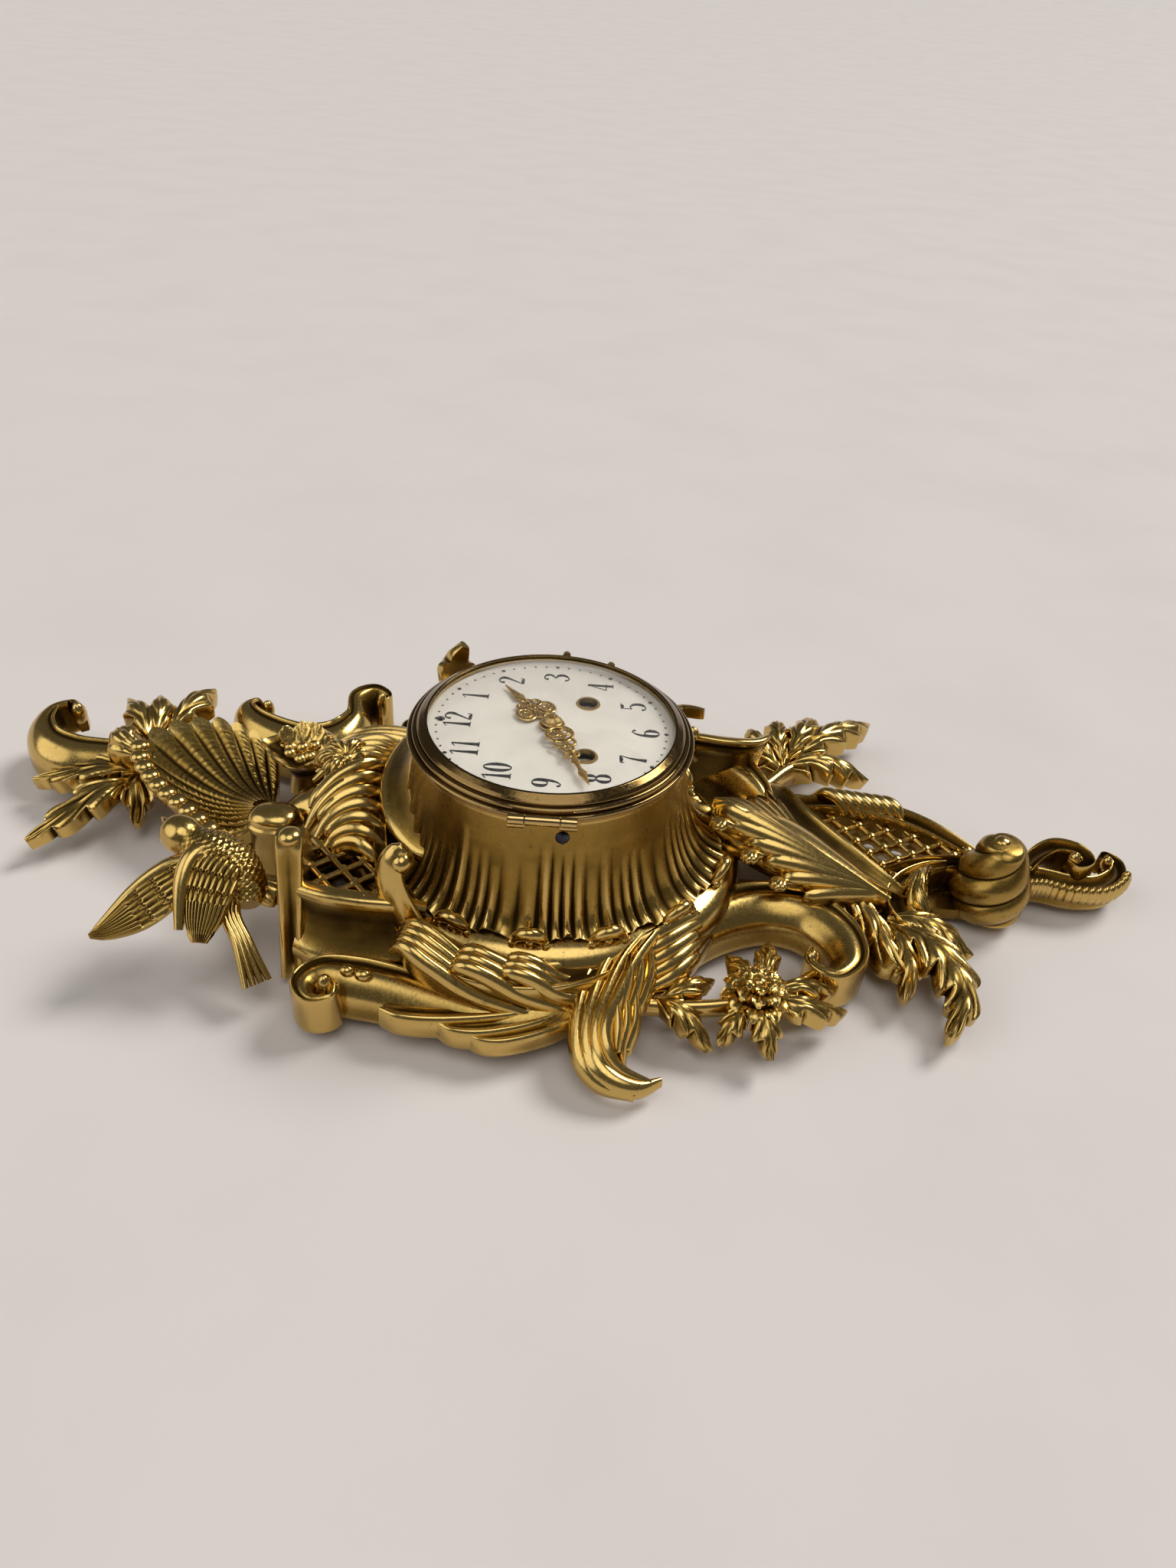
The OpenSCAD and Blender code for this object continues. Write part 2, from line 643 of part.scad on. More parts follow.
// Pallets and crutch turn on one arbor; the pendulum hangs in line with it
pallet = [[-1, 1.2], [3, 8.4], [7.4, 9.6], [7.2, 8.9], [4.2, 7.4], [1.6, 1]];
crutch_l = 22;
crutch_pin = 0.6;
crutch_z = back_z - 3;
module pallet_anchor() color(steel) at(pallet_at) {
    bar(arbor_r, cock_z, front_top);
    translate([0, 0, escape_z - 0.2]) linear_extrude(1.6) {
        circle(2.2);
        for (s = [-1, 1])
            polygon([for (q = pallet) [q[0], s * q[1]]]);
    }
    translate([0, -0.9, crutch_z]) cube([crutch_l + 1, 1.8, 1.2]);
    translate([crutch_l, 0, 0]) bar(crutch_pin, pendulum_z - 0.6, crutch_z + 1.2);
}
foot_y = 7.5;
module suspension_cock() color(bright_brass) difference() {
    union() {
        translate([-regulator_x - 2.5, -foot_y - 2, cock_z])
            cube([regulator_x + 2.5 + pallet_at[0] + 3, 2 * foot_y + 4, 2]);
        for (s = [-1, 1])
            translate([pallet_at[0] - 2.5, s * foot_y - 2, cock_z + 1]) cube([5.5, 4, back_z - cock_z - 1]);
        translate([pallet_at[0] - 3, -2.5, pendulum_z]) cube([5, 5, cock_z - pendulum_z + 1]);
    }
    at(pallet_at) bar(arbor_r + run, cock_z - 1, back_z);
    at([-regulator_x, 0]) bar(arbor_r + run, cock_z - 1, back_z);
    translate([pallet_at[0] - 2.2, -0.4, pendulum_z - 1]) cube([6, 0.8, 3]);
}
rod_w = 2.6;
spring_l = 9;
module pendulum() color(steel) at(pallet_at) {
    translate([-1.4, -0.12, pendulum_z - 0.6]) cube([spring_l + 1.8, 0.24, 2.2]);
    difference() {
        translate([spring_l, -rod_w / 2, pendulum_z - 0.6]) cube([pendulum_l - spring_l, rod_w, 1.6]);
        translate([crutch_l - 2, -crutch_pin - run, pendulum_z - 2])
            cube([4, 2 * (crutch_pin + run), 5]);
    }
    translate([pendulum_l, 0, pendulum_z + 0.2]) rotate_extrude() polygon([
        [0, -3.2], [bob_r * 0.6, -2.4], [bob_r, -0.3], [bob_r, 0.3], [bob_r * 0.6, 2.4], [0, 3.2]
    ]);
}
module regulator_arbor() color(blue_steel) at([-regulator_x, 0]) {
    bar(arbor_r, cock_z, dial_z - 1);
    translate([-0.6, -0.6, dial_z - 1]) cube([1.2, 1.2, 1.4]);
}

// Strike train, hammer and bell

module strike_wheel() color(bright_brass) at(second_at) rotate(second_phase) {
    bar(arbor_r, back_z - 2.6, front_top);
    translate([0, 0, great_z - 0.4]) pinion(inter_pinion_n, barrel_m, great_t + 1);
    translate([0, 0, strike_z]) crossed(inter_n, inter_m, wheel_t, 3.4, 5);
    // Count wheel behind the back plate, with twelve notches
    translate([0, 0, back_z - 2.4]) linear_extrude(1.2) difference() {
        circle(10.5);
        for (k = [1:12]) rotate(k * (k + 1) / 2 * 360 / 78) translate([10.3, 0]) circle(0.6);
    }
}
fan_w = 9;
module fly() color(bright_brass) at(fly_at) rotate(fly_phase) {
    bar(fine_r, back_z, front_top);
    translate([0, 0, strike_z - 0.5]) pinion(train_pinion_n, inter_m, wheel_t + 1);
    translate([-fan_w / 2, -0.4, back_top + 3]) cube([fan_w, 0.8, 12]);
}
hammer_head = 3;
strike_gap = 0.08;
// The hammer's head stands beside the bell's edge
head_at = (bell_r + strike_gap + hammer_head) * [cos(82), -sin(82)];
hammer_l = norm(head_at - hammer_at);
hammer_way = atan2(head_at[1] - hammer_at[1], head_at[0] - hammer_at[0]);
module hammer() color(steel) at(hammer_at) difference() {
    union() {
        bar(2.4, hammer_z - 1.5, back_z - 0.3);
        rotate(hammer_way) {
            translate([0, -1.1, hammer_z - 1.2]) cube([hammer_l, 2.2, 2.4]);
            translate([hammer_l, 0, 0]) bar(hammer_head, hammer_z - 2.2, hammer_z + 2.2);
        }
    }
    bar(1 + run, hammer_z - 4, back_z + 1);
}
bell_t = 1.8;
post_r = 1.4;
module bell_curve(r, h, z0) polygon(concat(
    [[0, z0]],
    [for (t = [0:10:90]) [r * (0.35 + 0.65 * sin(t)), z0 + h * (1 - cos(t))]],
    [[r, z0 + h + 1], [0, z0 + h + 1]]
));
module bell() color(bright_brass) rotate_extrude($fn = 96) difference() {
    intersection() {
        bell_curve(bell_r, bell_h, bell_z);
        translate([0, bell_z]) square([bell_r + 1, bell_h]);
    }
    bell_curve(bell_r - bell_t, bell_h - bell_t + 1, bell_z + bell_t);
    translate([0, bell_z - 1]) square([post_r, bell_t + 2]);
}
stand_t = 2;
module bell_stand() color(steel) {
    at(stand_at) bar(1.9, bell_z - stand_t, back_z);
    translate([-3, 0, bell_z - stand_t]) cube([6, stand_at[1], stand_t]);
    bar(3, bell_z - stand_t, bell_z);
    bar(post_r, bell_z - 0.5, bell_z + bell_t + 1.6);
    translate([0, 0, bell_z + bell_t]) cylinder(r = 3, h = 1.4, $fn = 6);
}

// Ornament, placed from the four ends of the drawn rim and carried out or in with the real one
upper = [-67, 0, 0];
lower = [67, 0, 0];
near = [0, -67, 0];
far = [0, 67, 0];
module fitted(p) scale([follow, follow, 1]) translate(p) children();

// One bronze casting: its parts are fused into a single skin
module casting() resize([0, 0, 0]) children();

// Ribbed shell that opens from its eye to a scalloped rim
shell_eye = [-46, 2, 34];
eye_r = 8;
shell_rim = [
    [-74, 0, 26], [-84, 8, 29], [-97, 18, 33], [-108, 33, 36], [-106, 44, 38], [-95, 52, 38],
    [-80, 52, 38], [-64, 46, 36], [-52, 38, 34]
];
module crest_shell() color(gilt) fitted(upper) casting() {
    edge = smooth(shell_rim, 4);
    rows = [
        for (i = [0:len(edge) - 1])
            let (wave = cos(360 * i / 4))
            [for (k = [0:5])
                let (t = 0.16 + 0.84 * k / 5)
                shell_eye + (edge[i] - shell_eye) * t + [0, 0, -9 * sin(180 * t) + 1.2 * t * wave]]
    ];
    sheet(rows, 6);
    translate([shell_eye[0], shell_eye[1], back_gap + bar_t])
        cylinder(r = eye_r + 0.5, h = shell_eye[2] - back_gap - bar_t, $fn = 24);
    translate(shell_eye) sphere(eye_r, $fn = 20);
}

// Curled scroll at the very top, with leaf sprays on both sides
module crest_scroll() color(gilt) fitted(upper) casting() {
    sweep([
        [-76, 22, 17, 6, 9], [-98, 40, 17, 7, 9], [-118, 47, 16, 7.5, 9], [-134, 46, 16, 8, 9],
        [-148, 46, 16, 8, 9],
        [-160, 51, 17, 7.5, 9], [-167, 62, 18, 6.5, 9], [-166, 73, 19, 5, 8.5], [-158, 78, 20, 3.5, 7.5],
        [-153, 72, 21, 1.8, 6]
    ], cove);
    for (tip = [
        [-157, 33, 11], [-141, -8, 10], [-108, 12, 12], [-137, 87, 14], [-126, 99, 14], [-106, 104, 14]
    ]) {
        root = [-116, tip[1] > 50 ? 52 : 40, 15];
        mid = (root + tip) / 2 + [0, 0, 5];
        sweep([concat(root, [4, 5]), concat(mid, [8, 5]), concat(tip, [1, 2])], ridge);
    }
}

// Body that carries the crest, dressed with acanthus leaves
module crest_pedestal() color(gilt) fitted(upper) casting() {
    sweep([
        [6, 12, 27, 12, 18], [-10, 13, 29, 18, 21], [-28, 10, 29, 17, 21], [-44, 4, 26, 11, 18],
        [-52, 2, 23, 6, 13]
    ], oval);
    sweep([[12, 18, 44, 4, 5], [-4, 17, 51, 8, 6], [-20, 13, 52, 9, 6], [-36, 7, 46, 4, 5]], ridge);
    sweep([[12, 29, 39, 4, 5], [-6, 31, 43, 8, 6], [-24, 28, 44, 8, 6], [-40, 22, 40, 2, 4]], ridge);
    sweep([[8, -3, 38, 3, 5], [-8, -6, 41, 7, 5], [-22, -9, 41, 6, 5], [-32, -11, 39, 1.5, 3]], ridge);
}

// Scroll on the far side of the crest, with a flower cup on its stem
module upper_right_scroll() color(gilt) fitted(upper) casting() {
    sweep([
        [-73, 91, 16, 1.2, 6], [-78, 96, 16, 3, 7], [-82, 86, 16, 5.5, 8], [-72, 74, 16, 7, 9],
        [-52, 65, 16, 7.5, 9],
        [-35, 69, 16, 7, 9], [-28, 84, 16, 5.5, 8.5], [-30, 99, 16, 4.5, 8],
        [-24, 107, 16, 3.5, 7.5], [-17, 102, 16, 2, 7],
        [-20, 96, 16, 1.2, 6.5]
    ], cove);
    sweep([[-24, 26, 20, 7, 9], [-34, 44, 20, 8, 9], [-46, 66, 16, 6, 7]], oval);
    translate([-40, 36, 18]) rotate_extrude($fn = 24) polygon([
        [0, 0], [8, 0], [7, 14], [12, 21], [13.5, 23], [11, 23], [6, 17], [0, 16]
    ]);
    for (b = [[-40, 36, 37], [-44, 32, 36], [-36, 33, 36], [-43, 40, 36]]) translate(b) sphere(4, $fn = 14);
}

// Bird perched on the slab, one wing spread
module bird() color(gilt) fitted(upper) casting() {
    sweep([
        [-76, -27, 47, 0.8, 0.8], [-72, -30, 48, 2.4, 2.4], [-68, -33, 48, 5, 5], [-63, -36, 46, 5.5, 5.5],
        [-56, -40, 43, 8.5, 8], [-48, -44, 40, 9, 8.5], [-40, -50, 36, 6, 6], [-34, -58, 32, 3, 4]
    ], oval);
    sweep([
        [-58, -40, 46, 4, 3], [-57, -52, 47, 8, 3], [-54, -65, 44, 7.5, 2.5],
        [-50, -78, 38, 1.5, 1.5]
    ], ridge);
    sweep([
        [-61, -41, 43, 4, 3], [-69, -51, 39, 8.5, 3], [-78, -62, 34, 9, 2.5],
        [-86, -75, 28, 2, 1.5]
    ], ridge);
    sweep([[-40, -52, 35, 3, 3], [-35, -66, 29, 6, 2.5], [-30, -86, 22, 8, 2]], ridge);
    sweep([[-50, -44, 36, 3, 3], [-36, -46, 32, 2.5, 3], [-22, -47, 30, 3, 3]], oval);
}
perch_t = 8;
module bird_perch() color(gilt) fitted(upper) translate([-22, 0, 0]) rotate([90, 0, -90])
    translate([0, 0, -perch_t / 2]) linear_extrude(perch_t) polygon([
        [64, back_gap + 4], [61, 16], [57, 34], [49, 56], [45, 60], [40, 58], [36, 46], [28, 34],
        [6, 28], [6, back_gap + 4]
    ]);

// Swelling wall with a trellis top, in the upper corner
trellis_t = 4;
module lattice(outline, pitch, angle) {
    difference() {
        polygon(outline);
        intersection() {
            offset_in(outline) polygon(outline);
            rotate(angle) for (i = [-14:14], j = [-14:14])
                translate([i, j] * pitch) square(pitch - trellis_bar, center = true);
        }
    }
}
// Shrinks an outline towards its middle to leave a border
module offset_in(outline) {
    mid = [for (k = [0, 1]) [for (p = outline) p[k]] * [for (p = outline) 1] / len(outline)];
    translate(mid * 0.14) scale(0.86) children();
}
left_trellis = [[-21, -50], [8, -58], [10, -40], [6, -20], [0, -8], [-16, -8], [-22, -30]];
module left_console() color(gilt) fitted(upper) casting() {
    sweep([[16, -53, 25, 4, 14], [4, -56, 26, 5, 16], [-10, -57, 26, 5, 16], [-22, -54, 25, 4, 15]], swell);
    translate([0, 0, trellis_z - trellis_t]) linear_extrude(trellis_t) lattice(left_trellis, 8.6, 41);
    sweep([
        [30, -56, 23, 2.4, 6], [20, -56, 32, 2.6, 7], [11, -51, 40, 2.6, 6], [7, -36, 43, 2.6, 5],
        [3, -16, 44, 2.6, 5], [1, 4, 44, 2.4, 5]
    ], cove);
    sweep([
        [29, -56, 26, 4, 4], [23, -55, 38, 6, 5], [19, -52, 50, 6.5, 5], [19, -48, 60, 5, 4],
        [23, -46, 65, 2, 2]
    ], ridge, 4, unit([-1, -1, 0]));
}

// Acanthus scroll along the near side, with an inner leaf
module left_acanthus_scroll() color(gilt) fitted(near) casting() {
    sweep([
        [44, 14, 15, 3, 6.5], [32, 7, 15, 5.5, 7], [20, -5, 15, 6.5, 7.5], [6, -14, 15, 7, 7.5],
        [-12, -17, 15, 7, 7.5], [-32, -14, 15, 7, 7.5], [-52, -9, 15, 7, 7.5], [-67, -5, 15, 7, 8],
        [-77, -8, 15, 6, 8], [-81, -16, 15, 4.5, 7.5], [-75, -20, 15, 3, 7], [-71, -16, 15, 1.5, 6.5]
    ], cove);
    sweep([
        [40, 14, 22, 3, 6], [20, 5, 23, 8, 6.5], [0, -2, 23, 9.5, 6.5], [-18, -3, 23, 10, 6.5],
        [-34, 2, 24, 9, 6], [-45, 10, 25, 6.5, 5], [-50, 18, 26, 1.5, 3]
    ], ridge);
}

// Long leaf that reaches out as a foot
module foot_leaf() color(gilt) fitted(near) sweep([
    [42, 24, 20, 5, 6], [32, 3, 16, 8, 6.5], [25, -16, 13, 9.5, 6.5], [22, -30, 12, 9, 6.5],
    [27, -40, 11, 7.5, 6], [35, -44, 10, 5, 5.5], [44, -44, 9, 1.2, 3]
], ridge);

// Large C scroll below on the near side
module lower_left_scroll() color(gilt) fitted(lower) sweep([
    [-27, -70, 14, 2.5, 7], [-20, -57, 15, 6, 8.5], [-10, -41, 15, 8, 9.5], [5, -28, 15, 8.5, 10],
    [23, -21, 15, 8.5, 10],
    [39, -24, 15, 8.5, 10], [50, -36, 15, 8, 9.5], [52, -49, 15, 6.5, 9], [45, -57, 15, 5, 8.5],
    [38, -53, 15, 3.5, 8],
    [39, -46, 15, 2, 7.5]
], cove);

// Acanthus on the back of the C scroll and the leaf branch that grows from it
module lower_acanthus() color(gilt) fitted(lower) casting() {
    sweep([
        [33, -12, 18, 4, 6.5], [46, -11, 17, 6.5, 7], [57, -16, 16, 8, 7], [65, -27, 15, 8, 7],
        [69, -39, 14, 6.5, 6.5], [75, -51, 13, 1.5, 4]
    ], ridge);
    sweep([
        [86, 9, 11, 3.5, 5.5], [86, -4, 11, 3.5, 5.5], [83, -18, 11, 4, 5.5],
        [80, -33, 12, 4, 5.5]
    ], oval);
    for (tip = [[97, -23, 10], [102, -33, 10], [99, -53, 10], [86, -76, 9], [72, -60, 10]]) {
        root = [82, -25, 12];
        mid = (root + tip) / 2 + [0, 0, 4];
        sweep([concat(root, [3.5, 4.5]), concat(mid, [7, 5]), concat(tip, [1, 2.5])], ridge);
    }
}

// Rose spray between the foot leaf and the C scroll
flower_at = [15, -69, 11];
module flower_spray() color(gilt) fitted(lower) casting() {
    sweep([
        [-33, -74, 12, 2, 3.5], [-7, -77, 13, 2.5, 4], [7, -73, 14, 2.5, 4],
        [23, -66, 15, 2.5, 4], [40, -55, 15, 2.5, 4]
    ], oval);
    for (tip = [[-7, -91, 10], [47, -71, 11], [36, -85, 10], [20, -42, 13], [17, -89, 10]]) {
        root = [tip[0] * 0.6 + 5, -74 + 0.12 * tip[0], 14];
        mid = (root + tip) / 2 + [3, 0, 3];
        sweep([concat(root, [2.5, 3]), concat(mid, [5, 3.5]), concat(tip, [1, 2])], ridge);
    }
    translate(flower_at) rotate_extrude($fn = 24) polygon([
        [0, 0], [6, 0], [11.5, 6], [11.5, 9], [8.5, 8.5], [8.5, 12], [5.5, 11.5], [4.5, 15], [0, 16]
    ]);
}

// Ribbed shell that flows from the bowl into the lower trellis
fan_out = [[33, 46, 26], [39, 33, 27], [47, 19, 27], [57, 7, 26], [70, -7, 24]];
fan_in = [-34, 4, 52];
module lower_fan() color(gilt) fitted(lower) {
    edge = smooth(fan_out, 6);
    rows = [
        for (i = [0:len(edge) - 1])
            let (root = fan_in + (edge[i] - fan_in) * 0.3, wave = cos(360 * i / 4))
            [for (k = [0:5])
                let (t = k / 5)
                root + (edge[i] - root) * t + [0, 0, -8 * sin(180 * t) + 0.9 * t * wave]]
    ];
    sheet(rows, 7);
}

// Framed trellis below the fan
lower_panel = [[46, 36], [58, 14], [72, 2], [94, 9], [119, 19], [119, 26], [98, 34], [80, 41], [60, 44]];
panel_z = 14;
module lower_trellis() color(gilt) fitted(lower) casting() {
    translate([0, 0, panel_z]) linear_extrude(trellis_t) lattice(lower_panel, 8.4, 30);
    sweep([
        [30, 54, 14, 2.5, 7], [37, 41, 17, 3.5, 10], [47, 23, 18, 3.5, 11], [60, 8, 18, 3.5, 11],
        [76, -6, 15, 3, 9], [86, -10, 13, 1.5, 6]
    ], cove);
    sweep([[72, 1, 13, 3, 8], [89, 8, 13, 3.5, 9], [106, 13, 13, 3.5, 8.5], [124, 16, 12, 2.5, 7]], cove);
    sweep([
        [38, 47, 13, 2.5, 8], [60, 47, 15, 4, 10], [82, 43, 15, 4.5, 10], [102, 35, 14, 4, 9],
        [124, 18, 12, 2.5, 7]
    ], cove);
}

// Turned boss in stacked rings
boss_at = [121, 3, back_gap];
module pendant_boss() color(gilt) fitted(lower + boss_at) rotate_extrude() polygon([
    for (q = [
        [0, 0], [14, 0], [14.5, 0.12], [13, 0.3], [11.5, 0.36], [12.4, 0.46], [11.4, 0.6], [10, 0.65],
        [10.8, 0.75], [9, 0.88], [5, 0.97], [0, 1]
    ]) [q[0], q[1] * boss_h]
]);

// Curled tendril at the very bottom
module tail_tendril() color(gilt) fitted(lower) casting() {
    sweep([
        [124, 8, 11, 5.5, 6.5], [136, 9, 11, 5.5, 6.5], [146, 4, 11, 5, 6.5],
        [157, 0, 11, 5, 6.5], [169, 4, 11, 5, 6.5],
        [181, 14, 11, 4.5, 6], [187, 24, 11, 3.5, 5.5], [184, 32, 11, 2.5, 5], [178, 30, 11, 1.2, 4.5]
    ], cove);
    sweep([
        [136, 9, 12, 3.5, 6], [149, 15, 12, 4, 6], [162, 14, 12, 4, 6], [169, 20, 12, 3, 5.5],
        [165, 26, 12, 2, 5],
        [160, 23, 12, 1.2, 4.5]
    ], cove);
}

// Scroll mass on the far side below
module right_console() color(gilt) fitted(far) {
    sweep([
        [40, -2, 20, 6, 13], [60, 2, 20, 8, 14], [78, -4, 20, 8.5, 14], [90, -17, 19, 7, 12],
        [97, -30, 16, 3, 9]
    ], cove);
}
module right_leaf_spray() color(gilt) fitted(lower) casting() {
    sweep([[18, 50, 14, 4, 6], [32, 63, 14, 4, 6], [43, 76, 14, 4, 6], [55, 85, 14, 3, 5]], oval);
    sweep([[26, 50, 12, 3, 6], [45, 56, 12, 3.5, 6], [59, 53, 12, 3.5, 6], [72, 44, 12, 3, 6]], oval);
    for (tip = [[33, 112, 11], [48, 118, 11], [72, 118, 11], [91, 122, 11], [81, 79, 11]]) {
        root = [42, 72, 14];
        mid = (root + tip) / 2 + [0, 0, 5];
        sweep([concat(root, [4, 5]), concat(mid, [7, 5]), concat(tip, [1, 2.5])], ridge);
    }
}

// Acanthus scroll along the far side, with three tall leaves behind the bezel
module right_acanthus_scroll() color(gilt) fitted(far) casting() {
    sweep([
        [46, -12, 15, 5, 8], [26, 3, 15, 7, 9], [6, 13, 15, 7.5, 9.5], [-14, 15, 15, 7.5, 9.5],
        [-34, 11, 15, 7.5, 9.5],
        [-52, 6, 15, 7, 9.5], [-65, 9, 15, 6, 9], [-69, 18, 15, 4.5, 8.5], [-62, 23, 15, 3, 8],
        [-57, 18, 15, 1.5, 7.5]
    ], cove);
    for (leaf = [[0, 11, 70, 8], [20, 8, 68, 7], [46, -8, 62, 7]])
        sweep([
            [leaf[0], leaf[1] - 6, 18, 4, 4], [leaf[0], leaf[1] - 3, 36, leaf[3], 5],
            [leaf[0] + 1, leaf[1], 54, leaf[3] - 1, 4], [leaf[0] + 3, leaf[1] + 2, leaf[2], 1.5, 1.5]
        ], ridge, 4, [0, 1, 0]);
    sweep([
        [-33, 3, 16, 6, 5], [-39, -3, 30, 8, 6], [-44, -2, 46, 10, 6], [-46, 0, 58, 9.5, 5.5],
        [-46, 3, 68, 7, 4], [-42, 3, 76, 2, 2]
    ], ridge, 4, unit([-1, 1.4, 0]));
}

case_bowl();
back_bars();
rear_cover();
case_screws();
case_ring();
dial();
winding_collars();
bezel_door();
glass();
glass_ring();
hinge_leaf();
hinge_pin();
hour_hand();
minute_hand();
hand_collet();
cannon_pinion();
minute_wheel();
hour_wheel();
front_plate();
back_plate();
pillars();
movement_straps();
going_barrel();
going_winder();
going_click();
strike_barrel();
strike_winder();
strike_click();
intermediate_wheel();
centre_wheel();
third_wheel();
escape_wheel();
pallet_anchor();
suspension_cock();
pendulum();
regulator_arbor();
strike_wheel();
fly();
hammer();
bell();
bell_stand();
crest_shell();
crest_scroll();
crest_pedestal();
upper_right_scroll();
bird();
bird_perch();
left_console();
left_acanthus_scroll();
foot_leaf();
lower_left_scroll();
lower_acanthus();
flower_spray();
lower_fan();
lower_trellis();
pendant_boss();
tail_tendril();
right_console();
right_leaf_spray();
right_acanthus_scroll();
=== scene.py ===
# %% [markdown]
# # A gilt bronze wall clock
#
# This lesson dresses a packed clock model in Blender. The clock is a French style cartel: a fluted
# bowl holds the dial and the movement, and cast scrolls, leaves, a shell and a bird stand round it.
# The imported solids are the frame. They say where everything is, and the surfaces made here are finer
# versions of them, in the same place.

# %% Load the frame
import json
import math

import bpy
import numpy as np
from mathutils import Matrix


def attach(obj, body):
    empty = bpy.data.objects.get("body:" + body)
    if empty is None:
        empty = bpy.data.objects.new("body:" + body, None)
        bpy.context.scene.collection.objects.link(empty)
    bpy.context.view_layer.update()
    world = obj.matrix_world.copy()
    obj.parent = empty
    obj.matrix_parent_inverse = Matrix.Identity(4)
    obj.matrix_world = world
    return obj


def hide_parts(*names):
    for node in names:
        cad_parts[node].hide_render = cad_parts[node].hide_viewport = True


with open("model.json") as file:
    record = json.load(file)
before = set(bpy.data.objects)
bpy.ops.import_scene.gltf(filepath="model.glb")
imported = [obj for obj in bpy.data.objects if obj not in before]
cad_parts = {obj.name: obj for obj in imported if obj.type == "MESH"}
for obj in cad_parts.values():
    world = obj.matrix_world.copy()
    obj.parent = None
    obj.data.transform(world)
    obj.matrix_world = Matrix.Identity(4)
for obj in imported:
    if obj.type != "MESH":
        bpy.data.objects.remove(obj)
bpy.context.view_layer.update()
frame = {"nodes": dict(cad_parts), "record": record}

# %% [markdown]
# ## The camera
#
# The photograph was taken from the clock's left side, looking down at about 37 degrees. The place and
# the turn were solved from the dial, which is a circle of known size. A lens is a focal length and a
# sensor: here 1400 pixels of focal length on a picture 2048 pixels tall.

# %% Camera
EYE = (0.008736, -0.339444, 0.308868)
FOCAL_PIXELS, TALL_PIXELS, SENSOR = 1400, 2048, 36.0
pitch, yaw, roll = np.radians([36.54, 1.14, 4.79])
ahead = np.array([math.sin(yaw) * math.cos(pitch), math.cos(yaw) * math.cos(pitch), -math.sin(pitch)])
level = np.array([math.cos(yaw), -math.sin(yaw), 0.0])
above = np.cross(level, ahead)
turned_axes = np.stack([
    math.cos(roll) * level + math.sin(roll) * above,
    math.cos(roll) * above - math.sin(roll) * level,
    -ahead,
], axis=1)
camera = bpy.data.objects.new("Camera", bpy.data.cameras.new("Camera"))
bpy.context.scene.collection.objects.link(camera)
camera.matrix_world = Matrix.Translation(EYE) @ Matrix(turned_axes.tolist()).to_4x4()
camera.data.sensor_width = SENSOR
camera.data.lens = FOCAL_PIXELS * SENSOR / TALL_PIXELS
camera.data.clip_end = 500.0
bpy.context.scene.camera = camera
print("lens in millimetres:", round(camera.data.lens, 2))

# %% [markdown]
# ## Light and floor
#
# Metal shows what stands round it, so the light is what makes it look like gold. Sun lamps with a wide
# angle act as large soft windows, and they light a wide floor evenly. The world adds a weak grey from
# everywhere, which keeps the recesses from going black.
#
# The floor is a wide dish, and a backdrop carries it on upwards, so that a low view ends on the same
# pale colour. The camera sees the backdrop, also through the glass. It neither lights nor shades the
# clock and doesn't show in the metal, so the gold keeps its tones.

# %% Studio
scene = bpy.context.scene
scene.view_settings.view_transform = "Standard"
world = bpy.data.worlds.new("Studio")
scene.world = world
world.use_nodes = True
world.node_tree.nodes["Background"].inputs["Color"].default_value = (1.0, 0.98, 0.95, 1.0)
world.node_tree.nodes["Background"].inputs["Strength"].default_value = 0.11


def sun(name, towards, strength, angle):
    """A lamp at no distance that shines along the way from `towards` to the clock."""
    lamp = bpy.data.lights.new(name, "SUN")
    lamp.energy, lamp.angle = strength, math.radians(angle)
    obj = bpy.data.objects.new(name, lamp)
    scene.collection.objects.link(obj)
    z = np.array(towards) / np.linalg.norm(towards)
    x = np.cross([0.0, 1.0, 0.1], z)
    x /= np.linalg.norm(x)
    obj.matrix_world = Matrix(np.stack([x, np.cross(z, x), z], axis=1).tolist()).to_4x4()


sun("window", (0.62, 0.42, 0.8), 1.85, 24)
sun("ceiling", (0.05, -0.35, 0.93), 0.65, 40)
sun("room", (-0.8, -0.25, 0.6), 0.75, 50)


def dish(name, reach, rise, middle, around=96):
    """Rings of points round the clock, each at its own reach and rise in metres and joined to the next. A middle
    face closes the first ring."""
    angle = np.linspace(0, 2 * np.pi, around, endpoint=False)
    reach, rise = np.array(reach, float)[:, None], np.array(rise, float)[:, None]
    i, j = np.meshgrid(np.arange(len(reach) - 1), np.arange(around), indexing="ij")
    k = (j + 1) % around
    inner, outer = i * around, (i + 1) * around
    faces = np.stack([inner + j, outer + j, outer + k, inner + k], axis=-1).reshape(-1, 4).tolist()
    if middle:
        faces.append(list(range(around)))
    points = np.stack([reach * np.cos(angle), reach * np.sin(angle), rise + 0 * angle], axis=-1).reshape(-1, 3)
    mesh = bpy.data.meshes.new(name)
    mesh.from_pydata(points.tolist(), [], faces)
    mesh.shade_smooth()
    obj = bpy.data.objects.new(name, mesh)
    scene.collection.objects.link(obj)
    return obj


FLAT, RISE = 3, 2.4
reach = np.array([0.5, 1.5, FLAT, 6, 9, 12, 15, 18, 21])
floor = dish("floor", reach, RISE * np.clip((reach - FLAT) / (reach[-1] - FLAT), 0, 1) ** 2, True)
backdrop = dish("backdrop", [20.9, 22.5, 24, 25, 25.6, 26], [2.37, 3, 4.3, 7, 13, 24], False)
backdrop.visible_diffuse = backdrop.visible_glossy = backdrop.visible_shadow = False

